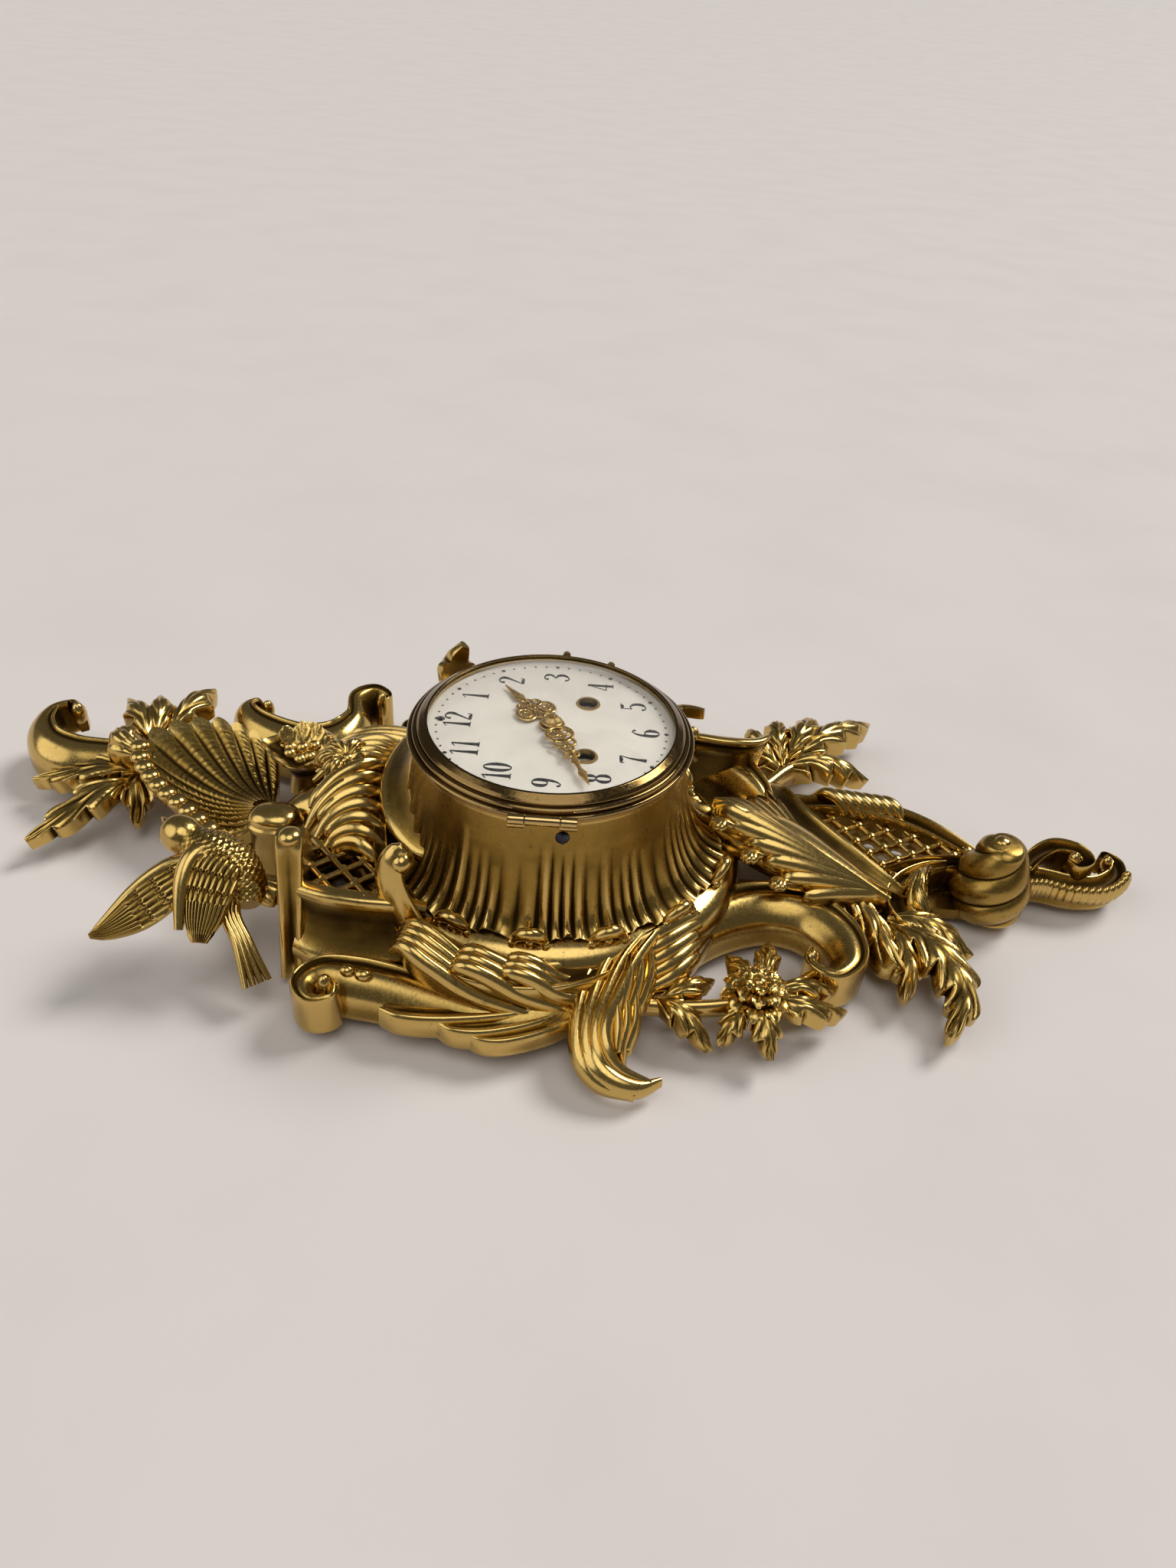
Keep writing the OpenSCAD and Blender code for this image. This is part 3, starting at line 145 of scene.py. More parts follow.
# %% [markdown]
# ## Materials
#
# Mercury gilding is thick and warm. Hands and cloths keep the ridges bright, while wax, soot and the
# matting punch leave the recesses brown and rough. The colour also paints shade into the recesses and
# highlights onto the ridges, on top of that dirt and wear. So the finish needs to know how far each point
# stands out of its neighbourhood. The meshes will carry that as an attribute called relief, from 0 in a
# groove to 1 on a ridge, and one node group turns it into colour with painted shade and painted
# highlights, roughness and grain.

# %% Node helpers
def node(tree, kind, settings=None, links=None):
    """A shader node with some sockets or properties set, and some sockets linked."""
    made = tree.nodes.new(kind)
    for key, value in (settings or {}).items():
        if isinstance(key, int) or key in made.inputs:
            made.inputs[key].default_value = value
        else:
            setattr(made, key, value)
    for key, socket in (links or {}).items():
        tree.links.new(socket, made.inputs[key])
    return made


def noise(tree, scale, detail, place=None, roughness=0.5):
    """Noise over the object's own coordinates, or over a place made from them."""
    if place is None:
        place = node(tree, "ShaderNodeTexCoord").outputs["Object"]
    return node(tree, "ShaderNodeTexNoise", {"Scale": scale, "Detail": detail, "Roughness": roughness},
                {"Vector": place}).outputs["Fac"]


def ramp(tree, value, low, high, bottom=0.0, top=1.0):
    """A smooth step from bottom to top while the value goes from low to high."""
    made = node(tree, "ShaderNodeMapRange", {"interpolation_type": "SMOOTHSTEP", "From Min": low,
                "From Max": high, "To Min": bottom, "To Max": top}, {"Value": value})
    return made.outputs["Result"]


def math_node(tree, operation, a, b):
    """Two values through one operation; each is a socket or a number."""
    made = node(tree, "ShaderNodeMath", {"operation": operation})
    for socket, value in zip(made.inputs, (a, b)):
        if isinstance(value, (int, float)):
            socket.default_value = value
        else:
            tree.links.new(value, socket)
    return made.outputs[0]


def blend_colour(tree, factor, a, b):
    """Colour a where the factor is 0 and b where it is 1."""
    made = node(tree, "ShaderNodeMix", {"data_type": "RGBA"}, {0: factor})
    for index, colour in ((6, a), (7, b)):
        if isinstance(colour, tuple):
            made.inputs[index].default_value = colour
        else:
            tree.links.new(colour, made.inputs[index])
    return made.outputs[2]


def group(name, inputs, outputs):
    """An empty node group with these sockets, and its two end nodes."""
    tree = bpy.data.node_groups.new(name, "ShaderNodeTree")
    for words, way in ((inputs, "INPUT"), (outputs, "OUTPUT")):
        for label, kind in words:
            tree.interface.new_socket(label, in_out=way, socket_type="NodeSocket" + kind)
    return tree, tree.nodes.new("NodeGroupInput"), tree.nodes.new("NodeGroupOutput")


# %% Gilding group
# Bright is the gold itself. Deep is the groove colour, painted shade over dirt. Shine is the ridge colour, painted
# highlight over wear.
gilding, start, end = group(
    "Gilding",
    [("Relief", "Float"), ("Bright", "Color"), ("Deep", "Color"), ("Shine", "Color"), ("Polish", "Float")],
    [("Color", "Color"), ("Roughness", "Float"), ("Height", "Float")])
patches = noise(gilding, 70.0, 5.0, roughness=0.6)
grain = noise(gilding, 1100.0, 3.0)
spots = noise(gilding, 330.0, 2.0)
# Grooves blend towards the deep colour: real dirt and patina, and also painted shade where the recesses would fall
# dark.
dirt_and_painted_shade = ramp(gilding, math_node(gilding, "ADD", start.outputs["Relief"],
            math_node(gilding, "MULTIPLY", patches, 0.3)), 0.34, 0.74)
# Ridges blend towards the shine colour: real wear and burnishing, and also a painted highlight where light would
# catch.
wear_and_painted_highlight = ramp(gilding, start.outputs["Relief"], 0.58, 0.82)
gold_with_painted_highlight = blend_colour(gilding, wear_and_painted_highlight, start.outputs["Bright"], start.outputs["Shine"])
gold_with_painted_highlight = blend_colour(gilding, ramp(gilding, spots, 0.62, 0.78, 0.0, 0.35), gold_with_painted_highlight, start.outputs["Deep"])
tint = blend_colour(gilding, dirt_and_painted_shade, start.outputs["Deep"], gold_with_painted_highlight)
rough = math_node(gilding, "SUBTRACT", ramp(gilding, dirt_and_painted_shade, 0.0, 1.0, 0.54, 0.3),
                  math_node(gilding, "MULTIPLY", wear_and_painted_highlight, 0.1))
rough = math_node(gilding, "ADD", rough, ramp(gilding, grain, 0.3, 0.7, -0.04, 0.06))
rough = math_node(gilding, "SUBTRACT", rough, start.outputs["Polish"])
gilding.links.new(tint, end.inputs["Color"])
gilding.links.new(rough, end.inputs["Roughness"])
gilding.links.new(math_node(gilding, "MULTIPLY", grain, ramp(gilding, wear_and_painted_highlight, 0.0, 1.0, 1.0, 0.25)),
                  end.inputs["Height"])
print("group nodes:", len(gilding.nodes))


# %% Metal materials
def material(name):
    """A new node material, its tree and its Principled shader."""
    made = bpy.data.materials.new(name)
    made.use_nodes = True
    return made, made.node_tree, made.node_tree.nodes["Principled BSDF"]


def gilded(name, bright, deep, shine, bump=0.05, carved=True, polish=0.0):
    """Metal with the gilding group. Carved meshes carry relief; plain solids take one middle value."""
    made, tree, shader = material(name)
    skin = node(tree, "ShaderNodeGroup", {"node_tree": gilding})
    for label, colour in (("Bright", bright), ("Deep", deep), ("Shine", shine)):
        skin.inputs[label].default_value = (*colour, 1.0)
    skin.inputs["Relief"].default_value = 0.5
    skin.inputs["Polish"].default_value = polish
    if carved:
        relief = node(tree, "ShaderNodeAttribute", {"attribute_name": "relief"})
        tree.links.new(relief.outputs["Fac"], skin.inputs["Relief"])
    dents = node(tree, "ShaderNodeBump", {"Strength": bump, "Distance": 0.0006},
                 {"Height": skin.outputs["Height"]})
    tree.links.new(skin.outputs["Color"], shader.inputs["Base Color"])
    tree.links.new(skin.outputs["Roughness"], shader.inputs["Roughness"])
    tree.links.new(dents.outputs["Normal"], shader.inputs["Normal"])
    shader.inputs["Metallic"].default_value = 1.0
    return made


# In each gilded finish, deep is the groove colour, painted shade over dirt, and shine is the ridge colour, painted
# highlight over wear.
GOLD = dict(bright=(0.32, 0.197, 0.043), deep=(0.038, 0.02, 0.004), shine=(0.6, 0.41, 0.13))
gilt = gilded("gilt", **GOLD)
gilt_plain = gilded("gilt_plain", **GOLD, carved=False)
old_brass = gilded("old_brass", (0.19, 0.118, 0.042), (0.03, 0.017, 0.006), (0.55, 0.38, 0.15), bump=0.03,
                   polish=0.16)
old_brass_plain = gilded("old_brass_plain", (0.42, 0.26, 0.085), (0.10, 0.055, 0.018), (0.7, 0.48, 0.19),
                         carved=False)
bright_brass_plain = gilded("bright_brass_plain", (0.52, 0.35, 0.13), (0.2, 0.115, 0.036), (0.8, 0.6, 0.28),
                            carved=False)
hand_gilt = gilded("hand_gilt", (0.42, 0.26, 0.07), (0.10, 0.05, 0.014), (0.74, 0.49, 0.17))
print("metals:", [m.name for m in bpy.data.materials])


# %% [markdown]
# Steel parts are drawn and filed, so their grain runs one way. Stretching a noise along one axis gives
# that. Enamel is glass fused on copper: white, glossy, a little uneven. The dial's black is the same
# glass with an oxide in it. The floor only needs a faint mottling, like a cloth.

# %% Steel, enamel, glass and floor
def grained(name, light, dark, stretch, roughness):
    """Metal with fine lines along one axis: a noise squeezed across the grain."""
    made, tree, shader = material(name)
    place = node(tree, "ShaderNodeTexCoord").outputs["Object"]
    squeezed = node(tree, "ShaderNodeMapping", {"Scale": stretch}, {"Vector": place}).outputs["Vector"]
    lines = noise(tree, 260.0, 4.0, squeezed)
    tree.links.new(blend_colour(tree, ramp(tree, lines, 0.3, 0.7), (*dark, 1.0), (*light, 1.0)),
                   shader.inputs["Base Color"])
    tree.links.new(ramp(tree, lines, 0.3, 0.7, roughness + 0.12, roughness), shader.inputs["Roughness"])
    shader.inputs["Metallic"].default_value = 1.0
    return made


def glazed(name, light, dark, scale, roughness, coat):
    """A glossy glass skin whose colour drifts a little."""
    made, tree, shader = material(name)
    drift = noise(tree, scale, 4.0)
    tree.links.new(blend_colour(tree, ramp(tree, drift, 0.35, 0.75), (*light, 1.0), (*dark, 1.0)),
                   shader.inputs["Base Color"])
    tree.links.new(ramp(tree, drift, 0.3, 0.7, roughness, roughness + 0.1), shader.inputs["Roughness"])
    shader.inputs["Coat Weight"].default_value = coat
    return made


steel = grained("steel", (0.55, 0.55, 0.56), (0.36, 0.36, 0.37), (1.0, 1.0, 0.08), 0.3)
blue_steel = grained("blue_steel", (0.07, 0.075, 0.10), (0.03, 0.03, 0.045), (1.0, 0.15, 1.0), 0.34)
enamel = glazed("enamel", (0.53, 0.485, 0.42), (0.475, 0.43, 0.37), 60.0, 0.16, 0.4)
black_enamel = glazed("black_enamel", (0.012, 0.011, 0.011), (0.03, 0.028, 0.027), 300.0, 0.25, 0.0)
floor_cloth = glazed("floor_cloth", (0.77, 0.71, 0.665), (0.74, 0.68, 0.635), 9.0, 0.8, 0.0)
floor.data.materials.append(floor_cloth)
backdrop.data.materials.append(floor_cloth)

clear_glass, tree, shader = material("clear_glass")
shader.inputs["Base Color"].default_value = (0.97, 0.985, 0.98, 1.0)
shader.inputs["Transmission Weight"].default_value = 1.0
shader.inputs["IOR"].default_value = 1.46
haze = noise(tree, 45.0, 3.0)
tree.links.new(ramp(tree, haze, 0.45, 0.8, 0.01, 0.05), shader.inputs["Roughness"])
through = node(tree, "ShaderNodeBsdfTransparent")
shadow = node(tree, "ShaderNodeLightPath").outputs["Is Shadow Ray"]
mixed = node(tree, "ShaderNodeMixShader", links={0: shadow, 1: shader.outputs["BSDF"], 2: through.outputs["BSDF"]})
tree.links.new(mixed.outputs[0], tree.nodes["Material Output"].inputs["Surface"])

# %% [markdown]
# ## Surfaces from arrays
#
# Every new piece is a grid of points computed by one formula. A route is a list of rows: place, half
# width and half height, in millimetres. A smooth curve through the rows gives the spine, and a section
# carried along the spine gives the skin. Closing the grid round and at both ends makes it watertight.

# %% Curves and skins
MM = 0.001
Z = np.array([0.0, 0.0, 1.0])


def unit(v):
    """Each row divided by its own length."""
    return v / np.maximum(np.linalg.norm(v, axis=-1, keepdims=True), 1e-9)


def even(points, steps):
    """A cubic through every point, whose slope at a point is half the chord of its neighbours, sampled at
    equal arc lengths. All columns run along, so widths change as smoothly as places."""
    p = np.asarray(points, float)
    p = np.concatenate([2 * p[:1] - p[1:2], p, 2 * p[-1:] - p[-2:-1]])
    u = np.linspace(0, len(p) - 3, 40 * len(p))
    i = np.minimum(u.astype(int), len(p) - 4)
    t = (u - i)[:, None]
    a, b, c, d = (p[i + k] for k in range(4))
    dense = b + 0.5 * t * (c - a + t * (2 * a - 5 * b + 4 * c - d + t * (3 * (b - c) + d - a)))
    run = np.concatenate([[0], np.cumsum(np.linalg.norm(np.diff(dense[:, :3], axis=0), axis=1))])
    s = np.linspace(0, run[-1], steps)
    return np.stack([np.interp(s, run, column) for column in dense.T], axis=1)


def axes(spine, up):
    """Along, to the left and upwards at each point of a spine, as three arrays of unit vectors."""
    along = unit(np.gradient(spine, axis=0))
    left = unit(np.cross(np.asarray(up, float), along))
    return along, left, np.cross(along, left)


def outward(verts, quads, tris):
    """The same skin, turned inside out if its signed volume is negative."""
    corners = np.concatenate([quads[:, [0, 1, 2]], quads[:, [0, 2, 3]], tris])
    a, b, c = (verts[corners[:, k]] for k in range(3))
    if np.einsum("ij,ij->", a, np.cross(b, c)) < 0:
        return verts, quads[:, ::-1], tris[:, ::-1]
    return verts, quads, tris


def closed(grid):
    """Rings of points, one per row: each is joined to the next and round to its own start, and a fan of
    triangles to the ring's middle closes both ends."""
    n, m = grid.shape[:2]
    i, j = np.meshgrid(np.arange(n - 1), np.arange(m), indexing="ij")
    k = (j + 1) % m
    quads = np.stack([i * m + j, i * m + k, (i + 1) * m + k, (i + 1) * m + j], axis=-1).reshape(-1, 4)
    verts = np.concatenate([grid.reshape(-1, 3), grid[[0, -1]].mean(axis=1)])
    j = np.arange(m)
    k = (j + 1) % m
    first = np.stack([k, j, np.full(m, n * m)], axis=-1)
    last = np.stack([(n - 1) * m + j, (n - 1) * m + k, np.full(m, n * m + 1)], axis=-1)
    return outward(verts, quads, np.concatenate([first, last]))


def looped(grid):
    """A grid joined to its own start both ways, as a ring is."""
    n, m = grid.shape[:2]
    i, j = np.meshgrid(np.arange(n), np.arange(m), indexing="ij")
    k, l = (j + 1) % m, (i + 1) % n
    quads = np.stack([i * m + j, i * m + k, l * m + k, l * m + j], axis=-1).reshape(-1, 4)
    return outward(grid.reshape(-1, 3), quads, np.zeros((0, 3), int))


def soft(corners, count, blur):
    """A closed outline sampled at equal steps, each point moved to the mean of a few, which rounds it."""
    p = np.asarray(corners + corners[:1], float)
    run = np.concatenate([[0], np.cumsum(np.linalg.norm(np.diff(p, axis=0), axis=1))])
    s = np.linspace(0, run[-1], count, endpoint=False)
    q = np.stack([np.interp(s, run, column) for column in p.T], axis=1)
    return sum(np.roll(q, k, axis=0) for k in range(-blur, blur + 1)) / (2 * blur + 1)


def circle(count):
    """A round section of so many points."""
    a = np.linspace(0, 2 * np.pi, count, endpoint=False)
    return np.stack([np.cos(a), np.sin(a)], axis=1)


def swept(route, section, steps, up=Z):
    """The section carried along the route: point = spine + left x half width x a + up x half height x b."""
    s = even(route, steps)
    _, left, top = axes(s[:, :3], up)
    a, b = section.T[:, None, :, None]
    return closed(s[:, None, :3] + left[:, None] * a * s[:, None, 3:4] + top[:, None] * b * s[:, None, 4:5])


def at(anchor, rows):
    """Rows moved by an anchor, with their widths kept."""
    rows = np.asarray(rows, float)
    rows[:, :3] += anchor
    return rows


CREST, FOOT, NEAR, FAR = ([-67, 0, 0], [67, 0, 0], [0, -67, 0], [0, 67, 0])
GUTTER = soft([[-1, -1], [1, -1], [1, 0.8], [0.9, 1], [0.74, 0.95], [0.62, 0.5], [0.35, 0.22], [-0.35, 0.22],
               [-0.62, 0.5], [-0.74, 0.95], [-0.9, 1], [-1, 0.8]], 64, 2)
ROUND = circle(20)
BAR = soft([[-1, -1], [1, -1], [1, 1], [-1, 1]], 16, 1)
print("section points:", len(GUTTER), len(ROUND), len(BAR))


# %% [markdown]
# ## From skins to pieces
#
# A piece joins its skins into one mesh. While it does so it measures the relief: it lets every point
# drift to the mean of its neighbours a few times, and sees how far the real point stands above or below
# that along its normal. A short drift finds beads and veins, and a long one finds the hollow of a scroll.

# %% Pieces
FINE, BROAD = 4, 30
SHARP = math.radians(42)


def relief_of(verts, quads, tris):
    """Half plus half the squashed height of each point over its drifted place, at a fine and a broad scale."""
    count = len(verts)
    loops = [quads[:, [k, (k + 1) % 4]] for k in range(4)] + [tris[:, [k, (k + 1) % 3]] for k in range(3)]
    a, b = np.concatenate(loops).T
    degree = np.maximum(np.bincount(a, minlength=count), 1)[:, None]
    corners = np.concatenate([quads[:, [0, 1, 2]], quads[:, [0, 2, 3]], tris])
    p, q, r = (verts[corners[:, k]] for k in range(3))
    face = np.cross(q - p, r - p)
    normal = unit(sum(np.stack([np.bincount(corners[:, k], face[:, d], count) for d in range(3)], axis=1)
                      for k in range(3)))
    drift, heights = verts, []
    for step in range(1, BROAD + 1):
        drift = np.stack([np.bincount(a, drift[b, d], count) for d in range(3)], axis=1) / degree
        if step in (FINE, BROAD):
            heights.append(np.einsum("ij,ij->i", verts - drift, normal))
    return 0.5 + 0.5 * np.tanh(heights[0] / 0.35 + heights[1] / 1.6)


def piece(name, skins, finish, nodes=(), body="case"):
    """One object from several skins in millimetres. It rides a body and stands for the CAD nodes."""
    sizes = np.cumsum([0] + [len(s[0]) for s in skins])
    verts = np.concatenate([s[0] for s in skins])
    quads = np.concatenate([s[1] + n for s, n in zip(skins, sizes)])
    tris = np.concatenate([s[2] + n for s, n in zip(skins, sizes)])
    mesh = bpy.data.meshes.new(name)
    mesh.vertices.add(len(verts))
    mesh.vertices.foreach_set("co", (verts * MM).ravel())
    corners = np.concatenate([quads.ravel(), tris.ravel()])
    mesh.loops.add(len(corners))
    mesh.loops.foreach_set("vertex_index", corners)
    starts = np.concatenate([np.arange(len(quads)) * 4, len(quads) * 4 + np.arange(len(tris)) * 3])
    mesh.polygons.add(len(starts))
    mesh.polygons.foreach_set("loop_start", starts)
    mesh.update(calc_edges=True)
    mesh.attributes.new("relief", "FLOAT", "POINT").data.foreach_set("value", relief_of(verts, quads, tris))
    mesh.shade_smooth()
    mesh.set_sharp_from_angle(angle=SHARP)
    mesh.materials.append(finish)
    obj = bpy.data.objects.new(name, mesh)
    scene.collection.objects.link(obj)
    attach(obj, body)
    if nodes:
        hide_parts(*nodes)
    print(f"{name}: {len(skins)} skins, {2 * len(quads) + len(tris)} triangles")


def casting(name, skins, node_name):
    """A gilt piece of the case that stands for one CAD node."""
    piece(name, skins, gilt, [node_name])


def turned(profile, centre, around=48, wobble=None):
    """A lathe shape on a vertical line: radius and height from the profile, and a radius factor by angle."""
    r, z = np.asarray(profile, float).T
    a = np.linspace(0, 2 * np.pi, around, endpoint=False)
    factor = np.ones((len(r), around)) if wobble is None else wobble(np.linspace(0, 1, len(r))[:, None], a[None])
    r = r[:, None] * factor
    return closed(np.stack([centre[0] + r * np.cos(a), centre[1] + r * np.sin(a), centre[2] + z[:, None] + 0 * a],
                           axis=-1))


def ball(centre, radius, rows=7, around=10):
    """An ellipsoid of few faces: one radius, or three."""
    t = np.linspace(0.05, np.pi - 0.05, rows)[:, None]
    a = np.linspace(0, 2 * np.pi, around, endpoint=False)[None]
    shape = np.stack([np.sin(t) * np.cos(a), np.sin(t) * np.sin(a), np.cos(t) + 0 * a], axis=-1)
    return closed(np.asarray(centre, float) + shape * (np.ones(3) * radius))


# %% [markdown]
# ## The bowl
#
# The bowl is one casting: a smooth turned neck that flares into about seventy fine flutes, like a cloth drawn
# into folds, over a plain sloping ledge. The founder chased each fold by hand, so they start at different
# heights and differ in width. The surface is a lathe profile moved along its normal: each fold is half a
# sine wave round the bowl, and grows from nothing at its own height to full depth at the rim. The rim is
# drawn out to an oval towards 12 and 6, and it carries fourteen small arches with beads at their feet.

# %% Bowl
rng = np.random.default_rng(7)
FLUTES, ARCHES = 70, 14
FIRST = math.radians(-92)
NECK, TOP, FALL, FLARE, MEAN_FLARE = 52.5, 79, 45, 9.5, 13


def drawn_out(angle):
    """How far the rim goes past a circle: 9 mm at 12 and 6, nothing at 3 and 9, by the squared cosine."""
    return 9 * np.cos(angle) ** 2


turn = np.linspace(0, 2 * np.pi, FLUTES * 10, endpoint=False)
phase = turn * FLUTES / (2 * np.pi) + 0.22 * np.sin(13 * turn) + 0.3 * np.sin(6 * turn + 1)
index = np.floor(phase).astype(int) % FLUTES
starts = rng.uniform(0.1, 0.36, FLUTES)[index]
fold = np.abs(np.sin(np.pi * (phase % 1.0))) ** 1.2
down = np.linspace(0, 1, 84)[:, None]
bend = down * np.pi / 2
depth = rng.uniform(1.1, 2.1, FLUTES)[index] * np.clip((down - starts) / 0.5, 0, 1)
moved = depth * fold - np.clip((down - 0.2) / 0.5, 0, 1)
oval = drawn_out(turn)
lobe = np.abs(np.cos(ARCHES / 2 * (turn - FIRST))) ** 0.7
edge = np.clip((down - 0.84) / 0.16, 0, 1) ** 2
normal_r, normal_z = FALL * np.cos(bend), MEAN_FLARE * np.sin(bend)
length = np.hypot(normal_r, normal_z)
radius = NECK + (FLARE + oval) * (1 - np.cos(bend)) + moved * normal_r / length + edge * (2.2 * lobe - 0.2)
height = TOP - FALL * np.sin(bend) + moved * normal_z / length - edge * 1.6 * lobe
ledge = np.array([[61, 32], [60.4, 31.8], [61, 31.6], [64.6, 31], [68, 29], [70.4, 26], [71.6, 22.6], [71.6, 20.6],
                  [70.8, 19.6], [66, 19.4], [54.2, 19.4], [54, 19], [54, 1.6], [50.5, 1.6], [50.5, 22], [58, 23],
                  [58.6, 28], [53.6, 42], [49.5, 62], [49, 79]])
ones = np.ones((1, len(turn)))
radius = np.concatenate([radius, ledge[:, :1] * ones + oval * (ledge[:, :1] > 60)])
height = np.concatenate([height, ledge[:, 1:] * ones])
bowl_skins = [looped(np.stack([radius * np.cos(turn), radius * np.sin(turn), height], axis=-1))]

# %% Arches on the rim
for a in FIRST + np.arange(ARCHES) * 2 * np.pi / ARCHES:
    wide = a + np.radians([-5.4, -3.4, 0, 3.4, 5.4])
    out = np.array([63.6, 64.8, 65.4, 64.8, 63.6]) + drawn_out(wide)
    thick = [1.6, 2.2, 2.6, 2.2, 1.6]
    arch = np.stack([out * np.cos(wide), out * np.sin(wide), [31.6, 35.6, 37.6, 35.6, 31.6], thick, thick], axis=1)
    hub = 64.2 + drawn_out(a)
    bowl_skins += [swept(arch, ROUND, 16), ball([hub * math.cos(a), hub * math.sin(a), 32], [2, 2, 2.2])]
    for r, b in zip(out[[0, -1]] + 1, wide[[0, -1]]):
        bowl_skins.append(ball([r * math.cos(b), r * math.sin(b), 31.8], 1.9))
bowl_skins.append(ball([3, -69.6, 26], [2.4, 2.2, 4], 9, 12))
casting("bowl", bowl_skins, "case_bowl")

# %% [markdown]
# One dark screw shows on the neck beside the hinge. It holds the movement's strap from outside. It is a
# low dome with a slot, standing square to the neck.

# %% Neck screw
way = unit(np.array([7.2, -52.2, 0.0]))
seat = way * 52.3 + np.array([0, 0, 72.0])
dome = [[*(seat + out * way), r, r] for out, r in ((-1, 2.5), (0.7, 2.5), (1.25, 1.7))]
slot_line = [[*(seat + 1.2 * way + 2.2 * s * Z), 0.45, 0.35] for s in (-1, 0, 1)]
piece("neck_screw", [swept(dome, ROUND, 8), swept(slot_line, BAR, 4, up=way)], blue_steel)


# %% [markdown]
# ## The door
#
# The bezel is a spun brass ring in steps, worn darker than the case. A lathe turns its profile, and the
# corners are rounded by the same averaging that rounds the scroll sections, because no worn edge is
# sharp. Its hinge knuckle is a short tube on the near side.

# %% Bezel
steps_profile = soft([[50.4, 80.5], [54.2, 80.5], [54.6, 81], [54.5, 81.8], [53.9, 82.3], [53, 82.2], [52.6, 82],
                      [52.8, 82.7], [52.6, 83.5], [51.9, 84], [51.1, 84.1], [50.7, 83.9], [50.8, 84.8],
                      [49.8, 85.7], [47.6, 87.1], [46.8, 87.1], [46.8, 86.25], [48.3, 86.25], [48.3, 82.6],
                      [50.4, 82.6]], 190, 1)
turn = np.linspace(0, 2 * np.pi, 240, endpoint=False)[:, None]
ring = looped(np.stack([steps_profile[:, 0] * np.cos(turn), steps_profile[:, 0] * np.sin(turn),
                        steps_profile[:, 1] + 0 * turn], axis=-1))
piece("bezel", [ring], old_brass, ["bezel_door"], body="door")


# %% Hinge
HINGE_LINE, LEAF_LINE = (-55.4, 81.4), (-54.2, 79.2)


def knuckle(low, high):
    """A short tube on the hinge line with rounded ends."""
    stations = ((low, 1.5), (low + 0.3, 1.9), ((low + high) / 2, 1.9), (high - 0.3, 1.9), (high, 1.5))
    return swept([[x, *HINGE_LINE, r, r] for x, r in stations], ROUND, 24)


leaves = [swept([[x, *LEAF_LINE, 1.5, 1.9] for x in (low, low + 2.9, low + 5.8)], BAR, 6) for low in (-12, 6.2)]
piece("door_knuckle", [knuckle(-6, 6)], old_brass, body="door")
piece("case_knuckles", [knuckle(-12, -6.15), knuckle(6.15, 12)] + leaves, old_brass, ["hinge_leaf"])


# %% [markdown]
# ## Numerals
#
# The hours are tall Arabic figures with thick stems and hair lines, painted in black enamel and fired.
# Each stroke is a route with its own half widths, like a pen that presses and lifts, carried as a thin
# bar just above the dial. A figure is drawn in a box one unit tall, then placed at its hour, upright.

# %% Figures
def oval_stroke(u, v, ru, rv):
    """A closed pen stroke round an ellipse, thick at the sides and thin at top and bottom."""
    a = np.linspace(0, 2 * np.pi, 25)
    return np.stack([u + ru * np.cos(a), v + rv * np.sin(a), 0.016 + 0.05 * np.abs(np.cos(a)) ** 1.6], axis=1)


